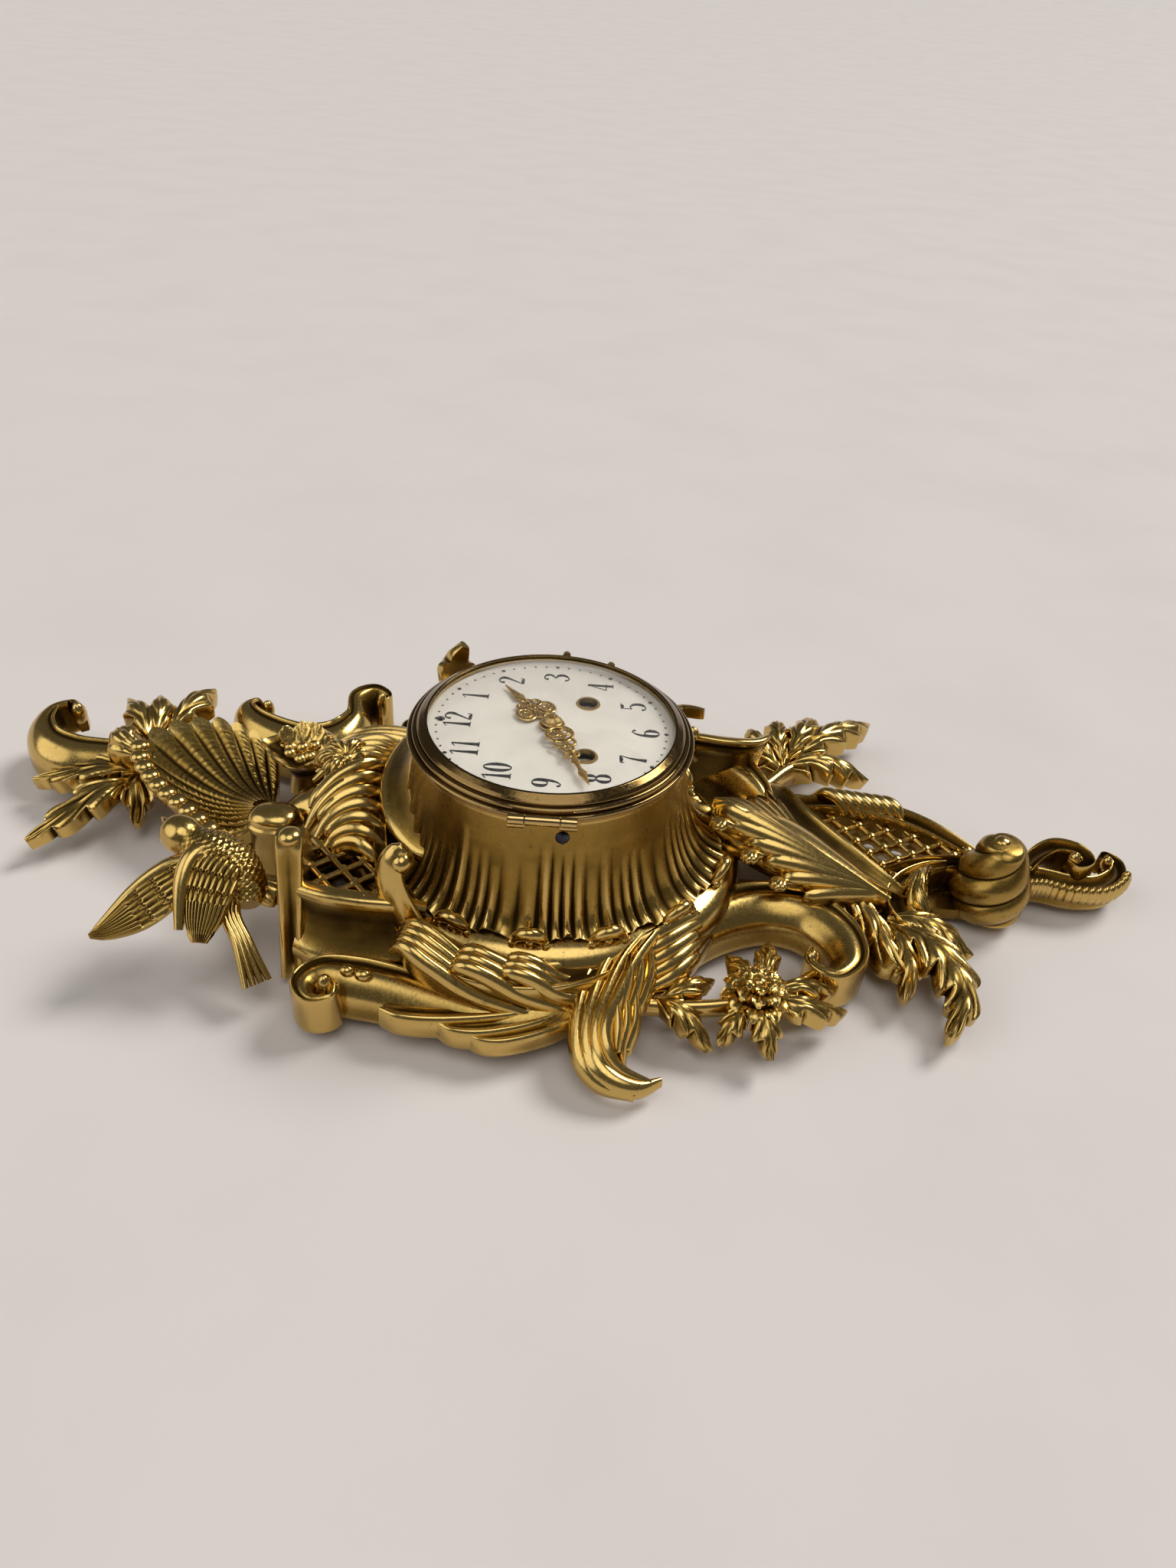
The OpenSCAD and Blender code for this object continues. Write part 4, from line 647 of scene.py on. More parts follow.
SIX = [[[0.41, 0.88, 0.045], [0.36, 0.97, 0.03], [0.25, 0.97, 0.018], [0.12, 0.74, 0.045], [0.07, 0.36, 0.06]],
       oval_stroke(0.25, 0.28, 0.17, 0.265)]
FIGURES = {
    "0": [oval_stroke(0.25, 0.5, 0.18, 0.485)],
    "1": [[[0.26, 1, 0.03], [0.26, 0.55, 0.048], [0.26, 0.02, 0.075]], [[0.1, 0.015, 0.016], [0.42, 0.015, 0.016]],
          [[0.27, 0.99, 0.016], [0.16, 0.93, 0.016], [0.08, 0.86, 0.016]]],
    "2": [[[0.08, 0.76, 0.05], [0.1, 0.91, 0.03], [0.25, 0.98, 0.018], [0.41, 0.87, 0.055], [0.42, 0.72, 0.06],
           [0.29, 0.44, 0.035], [0.06, 0.04, 0.016]],
          [[0.06, 0.05, 0.03], [0.25, 0.06, 0.05], [0.42, 0.04, 0.03], [0.46, 0.17, 0.014]]],
    "3": [[[0.08, 0.82, 0.05], [0.12, 0.94, 0.03], [0.25, 0.98, 0.018], [0.4, 0.87, 0.05], [0.4, 0.68, 0.045],
           [0.2, 0.53, 0.014]],
          [[0.2, 0.53, 0.014], [0.41, 0.42, 0.055], [0.43, 0.19, 0.06], [0.25, 0.02, 0.018], [0.11, 0.06, 0.03],
           [0.07, 0.17, 0.05]]],
    "4": [[[0.34, 1, 0.055], [0.34, 0.02, 0.055]], [[0.33, 0.98, 0.018], [0.18, 0.62, 0.018], [0.03, 0.28, 0.018]],
          [[0.03, 0.28, 0.016], [0.48, 0.28, 0.016]], [[0.2, 0.015, 0.014], [0.48, 0.015, 0.014]]],
    "5": [[[0.11, 0.97, 0.018], [0.1, 0.55, 0.018]], [[0.1, 0.94, 0.03], [0.26, 0.92, 0.05], [0.42, 0.98, 0.02]],
          [[0.1, 0.55, 0.016], [0.25, 0.61, 0.02], [0.42, 0.45, 0.055], [0.42, 0.19, 0.06], [0.25, 0.02, 0.018],
           [0.11, 0.06, 0.03], [0.07, 0.17, 0.05]]],
    "6": SIX,
    "7": [[[0.05, 0.82, 0.014], [0.06, 0.94, 0.03], [0.25, 0.93, 0.05], [0.46, 0.98, 0.02]],
          [[0.46, 0.97, 0.016], [0.31, 0.55, 0.035], [0.22, 0.02, 0.075]]],
    "8": [oval_stroke(0.25, 0.755, 0.145, 0.225), oval_stroke(0.25, 0.27, 0.185, 0.255)],
    "9": [np.asarray(stroke) * [-1, -1, 1] + [0.5, 1.0, 0] for stroke in SIX],
}
TALL, HOURS_AT, DOTS_AT = 10.2, 35.6, 43.4
marks = []
for hour in range(1, 13):
    a = np.radians(30 * hour)
    middle = np.array([-HOURS_AT * np.cos(a), HOURS_AT * np.sin(a)])
    digits = str(hour)
    for k, digit in enumerate(digits):
        shift = (k - (len(digits) - 1) / 2) * 0.5 - 0.25
        for stroke in FIGURES[digit]:
            u, v, w = np.asarray(stroke, float).T
            rows = np.stack([middle[0] - (v - 0.5) * TALL, middle[1] + (u + shift) * TALL, 0 * u + 82.23,
                             1.35 * w * TALL, 0 * u + 0.05], axis=1)
            marks.append(swept(rows, BAR, 6 * len(rows)))
for minute in range(60):
    a = np.radians(6 * minute)
    r = 0.5 if minute % 5 else 0.85
    marks.append(ball([-DOTS_AT * np.cos(a), DOTS_AT * np.sin(a), 82.22], [r, r, 0.06], 5, 12))
piece("dial_figures", marks, black_enamel)


# %% [markdown]
# ## Hands
#
# The hands are sawn from brass sheet and gilt: rings and lobed loops near the hub, then a leaf and a
# slender blade. Each bar of the openwork is a stroke again, this time as thick as the sheet.

# %% Hands
def hand(name, z, hub_in, hub_out, loops, blade, angle_deg, node_name, body):
    """Loops and a blade drawn along one line, then turned to the hand's angle from twelve."""
    a = np.radians(angle_deg)
    forth, aside = np.array([-np.cos(a), np.sin(a)]), np.array([np.sin(a), np.cos(a)])

    def put(rows):
        """A bar through rows of forth, aside and half width, as thick as the sheet."""
        rows = np.asarray(rows, float)
        spot = rows[:, :1] * forth + rows[:, 1:2] * aside
        tall = np.full((len(rows), 1), 0.4)
        return swept(np.concatenate([spot, np.full((len(rows), 1), z + 0.4), rows[:, 2:3], tall], axis=1), BAR,
                     5 * len(rows))

    t = np.linspace(0, 2 * np.pi, 26)
    skins = [put(np.stack([u + ru * np.cos(t), v + rv * np.sin(t), w + 0 * t], axis=1)) for u, v, ru, rv, w in loops]
    skins.append(put(blade))
    c = np.linspace(0, 2 * np.pi, 48, endpoint=False)[:, None]
    rim = soft([[hub_in, z], [hub_out, z], [hub_out, z + 0.8], [hub_in, z + 0.8]], 24, 1)
    skins.append(looped(np.stack([rim[:, 0] * np.cos(c), rim[:, 0] * np.sin(c), rim[:, 1] + 0 * c], axis=-1)))
    piece(name, skins, hand_gilt, [node_name], body=body)


both = np.array([[1, 1, 1, 1, 1], [1, -1, 1, 1, 1]])
hand("hour_hand_openwork", 83.0, 2.6, 4.9,
     [(8.6, 0, 2.6, 2.0, 0.6), (14.4, 0, 2.0, 1.5, 0.55), (17.4, 0, 1.6, 2.2, 0.6),
      *(both * (10.6, 4.5, 3.7, 3.1, 0.8)), *(both * (10.2, 4.4, 1.6, 1.3, 0.6)),
      *(both * (15.4, 3.4, 1.8, 1.5, 0.65))],
     [[5, 0, 0.6], [12, 0, 0.5], [18, 0, 0.7], [20, 0, 1.2], [21.8, 0, 2.1], [24, 0, 1.6], [28, 0, 0.8],
      [32, 0, 0.12]],
     51.7, "hour_hand", "hour")
hand("minute_hand_openwork", 84.3, 1.6, 4.0,
     [(8.8, 0, 4.7, 4.8, 0.75), (11.4, 0, 1.5, 1.2, 0.5), (18.6, 0, 2.0, 1.9, 0.6),
      *(both * (8, 2.1, 1.8, 1.5, 0.55)), *(both * (14.8, 2.2, 2.0, 1.7, 0.6)), *(both * (22.4, 1.5, 1.4, 1.2, 0.5))],
     [[12, 0, 0.5], [20, 0, 0.6], [24.5, 0, 0.9], [26.6, 0, 1.7], [29, 0, 0.8], [32, 0, 0.9], [34, 0, 1.7],
      [37, 0, 0.9], [41, 0, 0.12]],
     248.4, "minute_hand", "minute")


# %% [markdown]
# ## Acanthus
#
# Acanthus covers most of the case. On these castings the leaf is fleshy: long flutes leave the midrib at
# a small angle, run almost along it, and end at the edge in lobes that point forward. So the pattern is a
# wave along the leaf that lags more the further a point lies from the midrib. Where a lobe rolls over at
# its end it shows a row of small fingers, and those are short bars that rise and turn down again. A plume
# is a looser leaf: tapered strands side by side, spread evenly between a first and a last one.

# %% Leaf, fingers and shell
def acanthus(route, lobes, notch=0.35, shear=1.3, groove=0.32, cup=0.0, lean=0.35, up=Z, deep=1.0, across=25):
    """With v from -1 to 1 across and u along, the flute phase is lobes x u - shear x |v|. Each flute is half a
    sine wave of it; the edge draws in by the notch between lobes and leans forward at their tips. The top is the
    arch 1.25(1 - |v|^2.4) - 0.25 blended with the hollow 0.9 v^2, and the underside is flat."""
    steps = int(lobes * 15) + 14
    s = even(route, steps)
    along, left, top = axes(s[:, :3], up)
    u = np.linspace(0, 1, steps)[:, None]
    v = np.linspace(-1, 1, across)[None]
    far = np.abs(v)
    phase = lobes * u ** 1.05 - shear * far
    flute = np.sin(np.pi * (phase % 1.0)) ** 0.7
    tip = np.sin(np.pi * ((lobes * u ** 1.05 - shear) % 1.0) ** 1.6) ** 0.55
    w, h = s[:, 3:4], s[:, 4:5]
    out = w * v * (1 - notch * (1 - tip) * far ** 1.5)
    forth = lean * w * tip * far ** 2 * np.minimum(1, 4 * (1 - u))
    arch = (1 - cup) * (1.25 * (1 - far ** 2.4) - 0.25) + cup * (0.9 * far ** 2 - 0.05)
    lift = h * (arch + groove * (flute - 0.65) * np.clip(2.4 * far, 0, 1) + 0.12 * np.exp(-(v / 0.08) ** 2))
    base = s[:, None, :3] + along[:, None] * forth[..., None]
    upper_side = base + left[:, None] * out[..., None] + top[:, None] * lift[..., None]
    lower_side = base + left[:, None] * 0.95 * out[..., None] - top[:, None] * (deep * h)[..., None]
    return closed(np.concatenate([upper_side, lower_side[:, ::-1]], axis=1))


COVE = soft([[-1, -1], [1, -1], [1, 0.7], [0.93, 0.97], [0.8, 0.95], [0.6, 0.64], [0.3, 0.46], [0, 0.42],
             [-0.3, 0.46], [-0.6, 0.64], [-0.8, 0.95], [-0.93, 0.97], [-1, 0.7]], 64, 2)
BAND = soft([[-1, -1], [1, -1], [1, 0.7], [0.96, 0.93], [0.84, 1], [0.72, 0.92], [0.63, 0.7], [0.5, 0.8],
             [0.28, 0.88], [-0.1, 0.82], [-0.5, 0.6], [-0.85, 0.26], [-0.97, 0.0], [-1, -0.3]], 76, 2)
FINGER = circle(12)


def frill(base, way, reach, rise, fingers, spread, thick):
    """Fingers in a fan round one direction. Each rises from behind the base, turns over and comes down."""
    base, way = np.asarray(base, float), unit(np.asarray(way, float))
    side = np.cross(Z, way)
    stations = ((-0.7, 0, 0.7, 1), (-0.1, 0.75, 1, 1), (0.4, 1, 1.1, 1), (0.8, 0.7, 1, 1), (1, 0.1, 0.4, 0.5))
    skins = []
    for a in np.radians(np.linspace(-spread, spread, fingers)):
        d = (math.cos(a) * way + math.sin(a) * side) * reach * (1 - 0.3 * abs(a))
        rows = [[*(base + f * d + h * rise * Z), thick * w, thick * t] for f, h, w, t in stations]
        skins.append(swept(rows, FINGER, 14))
    return skins


def plume(first, last, count, lobes=0):
    """Strands side by side. Each strand's rows lie between those of the first and the last strand, and each is a
    tapered round bar; with lobes, the strands between two lobes end sooner."""
    first, last = np.asarray(first, float), np.asarray(last, float)
    skins = []
    for s in np.linspace(0, 1, count):
        rows = first + s * (last - first)
        if lobes:
            short = 0.75 * (1 - abs(math.sin(math.pi * lobes * (0.02 + 0.96 * s))))
            rows[-1, :3] += (rows[-2, :3] - rows[-1, :3]) * short
        skins.append(swept(rows, FINGER, 26))
    return skins


def shell(hub, rim, ribs, inner, sag, thick, ripple, beads, rows=50):
    """Rays from the hub to the rim. Along a ray the surface sags by a sine; across the rays it is raised into
    round ribs with sharp grooves, each rib carrying a row of beads and ending in its own small lobe."""
    edge = even(rim, ribs * 10 + 1)
    u = np.linspace(0, 1, len(edge))[:, None]
    t = np.linspace(inner, 1, rows)[None]
    rib = np.abs(np.sin(np.pi * ribs * u)) ** 0.7
    reach = t * (1 + 0.05 * (rib - 0.6) * t ** 3)
    seeds = beads * np.cos(2 * np.pi * 24 * t) * rib ** 3 * ((t > 0.3) & (t < 0.95))
    lift = -sag * np.sin(np.pi * t) + ripple * (rib - 0.6) * t ** 0.7 + seeds
    hub = np.asarray(hub, float)
    upper_side = hub + (edge[:, None] - hub) * reach[..., None] + Z * lift[..., None]
    return closed(np.concatenate([upper_side, upper_side[:, ::-1] - Z * thick], axis=1))


# %% [markdown]
# ## The crest
#
# At the top of the clock a ribbed shell turns round a smooth knob, and a broad lipped scroll runs from
# under it to a volute among leaves. The shell is a fan of rays: its ribs carry rows of tiny beads, as a
# chaser punches them, and its near edge is rolled into a row of lobes.

# %% Crest shell
shell_rim = [[-137, -4, 25], [-151, 6, 28], [-165, 17, 30], [-177, 32, 32], [-178, 43, 34], [-166, 51, 37],
             [-149, 54, 38], [-132, 48, 37], [-119, 39, 35]]
knob = turned([[9, 9], [9.4, 20], [9, 28], [10, 29.4], [10, 31.4], [9, 32.2], [9.4, 33.4], [8.6, 35.4], [6, 37.2],
               [1, 38]],
              [-109, -5, 0], 48, lambda t, a: 1 + 0.14 * np.cos(2 * a))
lobes = even(shell_rim, 40)[:20]
shell_skins = [shell([-111, -1, 36], shell_rim, 14, 0.14, 9, 6, 1.9, 0.28), knob]
shell_skins += [ball([x, y, z - 1], [4.2, 4.2, 2.8], 9, 14) for x, y, z in lobes[::2]]
roll = np.concatenate([lobes + [0, 0, -4.5], np.tile([2.0, 4.0], (20, 1))], axis=1)
shell_skins.append(swept(roll, ROUND, 60))
casting("shell", shell_skins, "crest_shell")

# %% Crest scroll
crest_line = at(CREST, [
    [-76, 22, 17, 6, 9], [-98, 40, 17, 7, 9], [-118, 47, 16, 7.5, 9], [-134, 46, 16, 8, 9], [-148, 46, 16, 8.5, 10],
    [-160, 51, 17, 8, 10], [-167, 62, 18, 7, 10], [-166, 73, 19, 5.5, 9.5], [-158, 78, 20, 3.8, 8.5],
    [-153, 72, 21, 2, 7]])
crest_skins = [swept(crest_line, BAND * [-1, 1], 170), ball([-221, 72.5, 23], [3.4, 3.4, 6])]
crest_skins += [
    acanthus([[-184, 38, 17, 4, 5], [-196, 35, 20, 9, 5], [-210, 34, 17, 8, 4.5],
              [-227, 34, 12, 1.5, 3.5]], 3, 0.5, cup=0.55),
    acanthus([[-183, 30, 17, 4, 5], [-190, 20, 20, 9, 5], [-200, 9, 16, 8, 4.5],
              [-213, -6, 11, 1.5, 3.5]], 3, 0.5, cup=0.55),
    acanthus([[-181, 36, 17, 3, 5], [-179, 28, 18, 7, 5], [-176, 19, 14, 5, 4],
              [-174, 10, 11, 1.2, 3]], 2, 0.45, cup=0.55),
    acanthus([[-182, 54, 18, 3, 5], [-187, 64, 24, 7, 5], [-193, 73, 26, 7, 4.5],
              [-201, 82, 24, 1.5, 3]], 3, 0.45, deep=1.6),
    acanthus([[-179, 56, 18, 3, 5], [-181, 68, 25, 7, 5], [-184, 77, 27, 6, 4.5],
              [-187, 85, 25, 1.2, 3]], 3, 0.45, deep=1.6),
    acanthus([[-175, 58, 18, 3, 5], [-172, 72, 25, 7.5, 5], [-169, 84, 27, 7, 4.5],
              [-165, 95, 24, 1.5, 3]], 3, 0.45, deep=1.6),
    acanthus([[-178, 40, 20, 3, 4], [-185, 41, 27, 6, 5], [-191, 46, 29, 6, 5],
              [-194, 54, 24, 2, 3]], 2, 0.2, deep=2)]
crest_skins += frill([-189, 50, 24], [-0.6, 0.7, 0], 8, 5, 3, 30, 2.4)
casting("crest_scrollwork", crest_skins, "crest_scroll")


# %% [markdown]
# Between the crest and the bowl stands a swelling body under a thicket of leaves. A smooth concave band
# follows the bowl, and plumes flow from it to the left over the trellis. A small rosette sits where they
# part.

# %% Petals and pedestal
def petals(centre, count, radius, width, lift, drop, turn):
    """A ring of pointed petals that rise from the middle and turn over at their tips."""
    stations = ((0.12, 0, width * 0.6), (0.5, lift, width), (0.8, lift * 1.05, width * 0.8), (1.0, lift - drop, 0.5))
    skins = []
    for a in turn + np.arange(count) * 2 * np.pi / count:
        out = np.array([math.cos(a), math.sin(a), 0])
        rows = [[*(np.asarray(centre) + out * radius * f + [0, 0, h]), w, 1.5] for f, h, w in stations]
        skins.append(acanthus(rows, 2, 0.15, 1.0, 0.3, 0.7, 0.2, across=9))
    return skins


def collar(first, last, high, low):
    """A hollow flange round part of the bowl: from the neck it falls outwards to a rolled edge, and it fades at
    both ends. Its height goes evenly from high to low along the arc."""
    a = np.linspace(first, last, 110)[:, None]
    s = (a - first) / (last - first)
    wide = np.sin(np.pi * np.clip(s, 0.02, 0.98)) ** 0.45
    r, z = soft([[50, 12], [53.5, 12], [56, 8.4], [59.5, 5], [63, 2.8], [66, 2], [67.4, 0.4], [66.6, -2.4], [65, -10],
                          [60, -16], [50, -16]], 64, 1).T[:, None]
    r = 52 + (r - 52) * wide
    return closed(np.stack([r * np.cos(a), r * np.sin(a), high + (low - high) * s + z], axis=-1))


pedestal = [
    swept(at(CREST, [[6, 12, 22, 12, 16], [-10, 13, 23, 17, 18], [-26, 10, 22, 15, 16],
                     [-38, 6, 19, 9, 12]]), ROUND, 60),
    collar(math.radians(112), math.radians(224), 63, 43),
    ball([-82, 12, 52], [3, 3, 3], 8, 12)]
for first, last, *shape in (
        ([[-65, 14, 46, 2, 4], [-74, 8, 51, 3.4, 5], [-83, 1, 50, 3.6, 5], [-90, -8, 46, 3, 4],
          [-94, -17, 41, 1.4, 2]],
         [[-62, -36, 39, 2, 4], [-67, -33, 43, 3, 5], [-72, -31, 43, 3, 5], [-77, -31, 41, 2.6, 4],
          [-81, -35, 37, 1.4, 2]], 7, 3),
        ([[-61, 30, 44, 2, 4], [-73, 30, 48, 3, 5], [-85, 26, 46, 3, 4.5], [-97, 20, 41, 1.4, 2]],
         [[-65, 17, 46, 2, 4], [-75, 15, 50, 3, 5], [-86, 9, 48, 3, 4.5], [-96, 1, 42, 1.4, 2]], 4, 1),
        ([[-56, 46, 39, 2, 5], [-70, 49, 39, 3.4, 6], [-84, 48, 37, 3.4, 6], [-98, 44, 32, 1.6, 3]],
         [[-61, 33, 42, 2, 5], [-75, 34, 43, 3.4, 6], [-89, 31, 40, 3.4, 6], [-102, 25, 34, 1.6, 3]], 4, 1)):
    pedestal += plume(first, last, *shape)
for x, y in ((-92, 22), (-95, 10), (-88, 0), (-80, 26)):
    half_way = [(x * 1.1 - 82 * 0.9) / 2, (y * 1.1 + 12 * 0.9) / 2, 54, 4.5, 3.5]
    pedestal.append(acanthus([[-82, 12, 50, 2, 3], half_way, [x, y, 50, 1, 2]], 3, 0.4, cup=0.3))
pedestal += petals([-82, 12, 51], 7, 7.5, 2.8, 3, 1, 0.3)
casting("pedestal_leaves", pedestal, "crest_pedestal")

# %% [markdown]
# On the far side of the crest a second scroll rolls up at both ends. Before it a dish holds a cluster of
# buds with four leaves behind them. The dish is a lathe shape whose radius grows to a point at four angles.

# %% Far crest scroll and flower dish
def cornered(t, a):
    """Four pointed corners that grow from the foot to the rim: a high power of a cosine."""
    return 1 + 0.34 * np.clip(2.2 * t - 0.6, 0, 1) * np.abs(np.cos(2 * a)) ** 5


flower_dish = turned([[7.5, 0], [6.2, 8], [7, 12], [10, 15.6], [13.4, 19.4], [14.4, 22.4], [13.4, 23], [10, 20],
                      [5, 17.6], [0.6, 17]], [-107, 36, 18], 96, cornered)
upper_right = [
    swept(at(CREST, [[-73, 91, 17, 1.2, 7], [-78, 96, 17, 3, 8], [-82, 87, 17, 5.5, 10], [-72, 75, 16, 8, 11],
                     [-52, 66, 16, 9.5, 11], [-35, 69, 16, 9, 12], [-27, 83, 17, 6.5, 12], [-29, 98, 18, 4.8, 12],
                     [-23, 106, 18, 3.6, 11], [-16, 102, 18, 2.2, 10], [-19, 96, 18, 1.2, 9]]), BAND, 170),
    swept(at(CREST, [[-24, 26, 20, 7, 9], [-34, 44, 20, 8, 9], [-46, 60, 16, 6, 7]]), ROUND, 30), flower_dish,
    ball([-139, 92, 20], [3, 3, 5]), ball([-85, 98, 22], [3, 3, 8])]
for dx, dy, dz in ((0, 0, 0.5), (-5, -3, -1), (4, -4, -1), (-3, 5, -1), (4, 4, -1), (0, -6, -1.5), (-6, 2, -1.5)):
    upper_right.append(ball([-107 + dx, 36 + dy, 38 + dz], 3.4, 8, 12))
for x, y, z in ((-116, 43, 45), (-109, 46, 46), (-102, 46, 45), (-97, 42, 42)):
    leaf = [[0.4 * x - 64.2, 37, 36, 2, 1.6], [0.8 * x - 21.4, 19 + y / 2, z - 5, 4.6, 2], [x, y, z, 1.2, 1]]
    upper_right.append(acanthus(leaf, 2, 0.15, 1.0, 0.3, 0.4, 0.2, up=[0, -0.8, 0.6], across=11))
casting("far_crest_scroll", upper_right, "upper_right_scroll")

# %% [markdown]
# ## The bird
#
# A small bird sits on the corner with one wing folded and one spread. Its body is a lofted oval whose
# radius carries rows of small scales: the product of a wave along the body and a wave round it. The
# wings are bands with rows of overlapping feathers, and the tail is four strands side by side. A smooth
# rail makes the front edge of each wing.

# %% Bird
def plumage(route, rows, count, up):
    """A wing: an arched band with rows of overlapping feathers. Along it a saw tooth rises to each feather's tip and
    drops to the next row; across it the tips are rounded and the rows are set half a feather apart."""
    s = even(route, 90)
    along, left, top = axes(s[:, :3], up)
    u = np.linspace(0, 1, 90)[:, None]
    v = np.linspace(-1, 1, 61)[None]
    row = np.floor(rows * u)
    curve = np.abs(np.cos(np.pi * (count * v / 2 + 0.5 * (row % 2))))
    saw = (rows * u - 0.4 * (1 - curve)) % 1.0
    quill = np.abs(np.sin(np.pi * 1.5 * count * v / 2)) ** 0.5
    w, h = s[:, 3:4], s[:, 4:5]
    out = w * v
    forth = 0.35 * w * (quill - 0.5) * (u > 0.9)
    lift = h * (0.9 * (1 - v ** 2) + np.where(u > 0.62, 0.3 * quill, 0.4 * saw * np.sqrt(curve)))
    base = s[:, None, :3] + along[:, None] * forth[..., None]
    upper_side = base + left[:, None] * out[..., None] + top[:, None] * lift[..., None]
    lower_side = base + left[:, None] * out[..., None] - top[:, None] * (0.6 * h + 0 * v)[..., None]
    return closed(np.concatenate([upper_side, lower_side[:, ::-1]], axis=1))


spine = even([[-141.5, -31, 46.5, 2.5, 2.5], [-138, -33, 46.5, 6.4, 6.4], [-133.5, -35.5, 46.5, 7.6, 7.4],
              [-129, -37.5, 45, 7, 6.8], [-122, -41, 43, 10, 9.4], [-114, -45, 40, 10.8, 10],
              [-107, -50, 36, 7.6, 7.4], [-105, -56, 33, 4, 4]], 144)
_, left, top = axes(spine[:, :3], Z)
round_it = np.linspace(0, 2 * np.pi, 72, endpoint=False)[None]
run = np.linspace(0, 1, 144)[:, None]
rows_of_scales = np.cos(2 * np.pi * 20 * run + 1.5 * np.sin(3 * round_it))
scales = 1 + 0.045 * rows_of_scales * np.cos(12 * round_it) * np.clip(6 * run - 1.3, 0, 1)
bird = [closed(spine[:, None, :3]
               + left[:, None] * (spine[:, 3:4] * scales * np.cos(round_it))[..., None]
               + top[:, None] * (spine[:, 4:5] * scales * np.sin(round_it))[..., None])]
bird += [swept([[-138.5, -32.5, 47.2, 2.4, 2.1], [-141.5, -29.6, 47.8, 1.5, 1.3],
                [-144, -27.5, 47.8, 0.3, 0.3]], ROUND, 14),
         ball([-137.6, -38.6, 49.4], 1.0), ball([-132.6, -31.6, 50.6], 1.0)]
bird += [plumage([[-113, -42, 46, 7, 2.6], [-116, -49, 47, 9, 3], [-118, -57, 41, 9, 3], [-119, -65, 33, 7, 2.4],
                  [-119, -71, 28, 3, 1.4]], 6, 8, unit(np.array([-0.1, -0.75, 0.65]))),
         swept([[-117, -41, 47, 3, 3], [-125, -46, 47.5, 3.8, 3.6], [-128, -55, 42, 3.2, 3],
                [-127, -68, 30, 1.6, 1.5]], ROUND, 40),
         plumage([[-126, -46, 43, 6, 2.4], [-135, -54, 38, 9.5, 2.6], [-144, -61, 32, 9, 2.2],
                  [-152, -67, 28, 5, 1.8], [-158, -71, 27, 1, 0.8]], 6, 7, unit(np.array([-0.25, -0.45, 0.85]))),
         swept([[-127, -43, 43, 3, 3], [-137, -47, 40.5, 3, 2.8], [-147, -54.5, 35, 2.4, 2.2],
                [-157, -68, 27.5, 1, 1]], ROUND, 40)]
bird += plume([[-112, -48, 36, 1.6, 2.4], [-114, -58, 31, 1.6, 2.2], [-107.5, -67.5, 24, 1.5, 2],
               [-102, -79, 14, 1.2, 1.4]],
              [[-107, -47, 36, 1.6, 2.4], [-109.5, -57, 31, 1.6, 2.2], [-103, -66, 24, 1.5, 2],
               [-95, -74, 14, 1.2, 1.4]], 4)
bird += [acanthus([[-117, -44, 36, 3, 3], [-108, -45, 34, 6, 3.4], [-98, -46, 32, 6, 3.4],
                   [-87, -47, 31, 2.4, 2.8]], 3, 0.3, 1.0)]
casting("carved_bird", bird, "bird")

# %% Perch
perch = even([[0, 4, 6, -35, 29], [0, 16, 0, -33.5, 27.5], [0, 26, 0, -32.2, 26.2], [0, 32, 0, -37, 19.5],
              [0, 38, 0, -43, 12], [0, 46, 0, -44.6, 8.6], [0, 55, 0, -44.8, 5.8], [0, 60, 0, -45, 3]], 70)
SLAB = soft([[-1, -1], [-0.3, -1], [-0.15, -0.92], [0.15, -0.92], [0.3, -1], [1, -1], [1, 1], [0.3, 1],
             [0.15, 0.92], [-0.15, 0.92], [-0.3, 1], [-1, 1]], 96, 3)
across, tall = SLAB.T[:, None]
high, middle, half = perch[:, 1:2], perch[:, 3:4], perch[:, 4:5]
slab = closed(np.stack([-90 + 5 * across + 0 * high, middle + half * tall, high + 0 * across], axis=-1))
casting("perch", [slab, ball([-90, -46, 58.5], [4.6, 4.8, 3.2], 9, 16)], "bird_perch")


# %% [markdown]
# ## Trellis
#
# Two panels are filled with a trellis: crossing square bars with a bead on every crossing. The bars are
# straight lines in two directions, cut where they leave the panel. A point is inside the panel if a line
# from it to the right meets the outline an odd number of times.

# %% Trellis
def inside(points, outline):
    """The odd crossing rule, for all points at once."""
    a = np.asarray(outline, float)
    b = np.roll(a, -1, axis=0)
    x, y = points[:, :1], points[:, 1:2]
    spans = (a[:, 1] > y) != (b[:, 1] > y)
    meets = a[:, 0] + (y - a[:, 1]) * (b[:, 0] - a[:, 0]) / (b[:, 1] - a[:, 1] + 1e-9)
    return (spans & (x < meets)).sum(axis=1) % 2 == 1


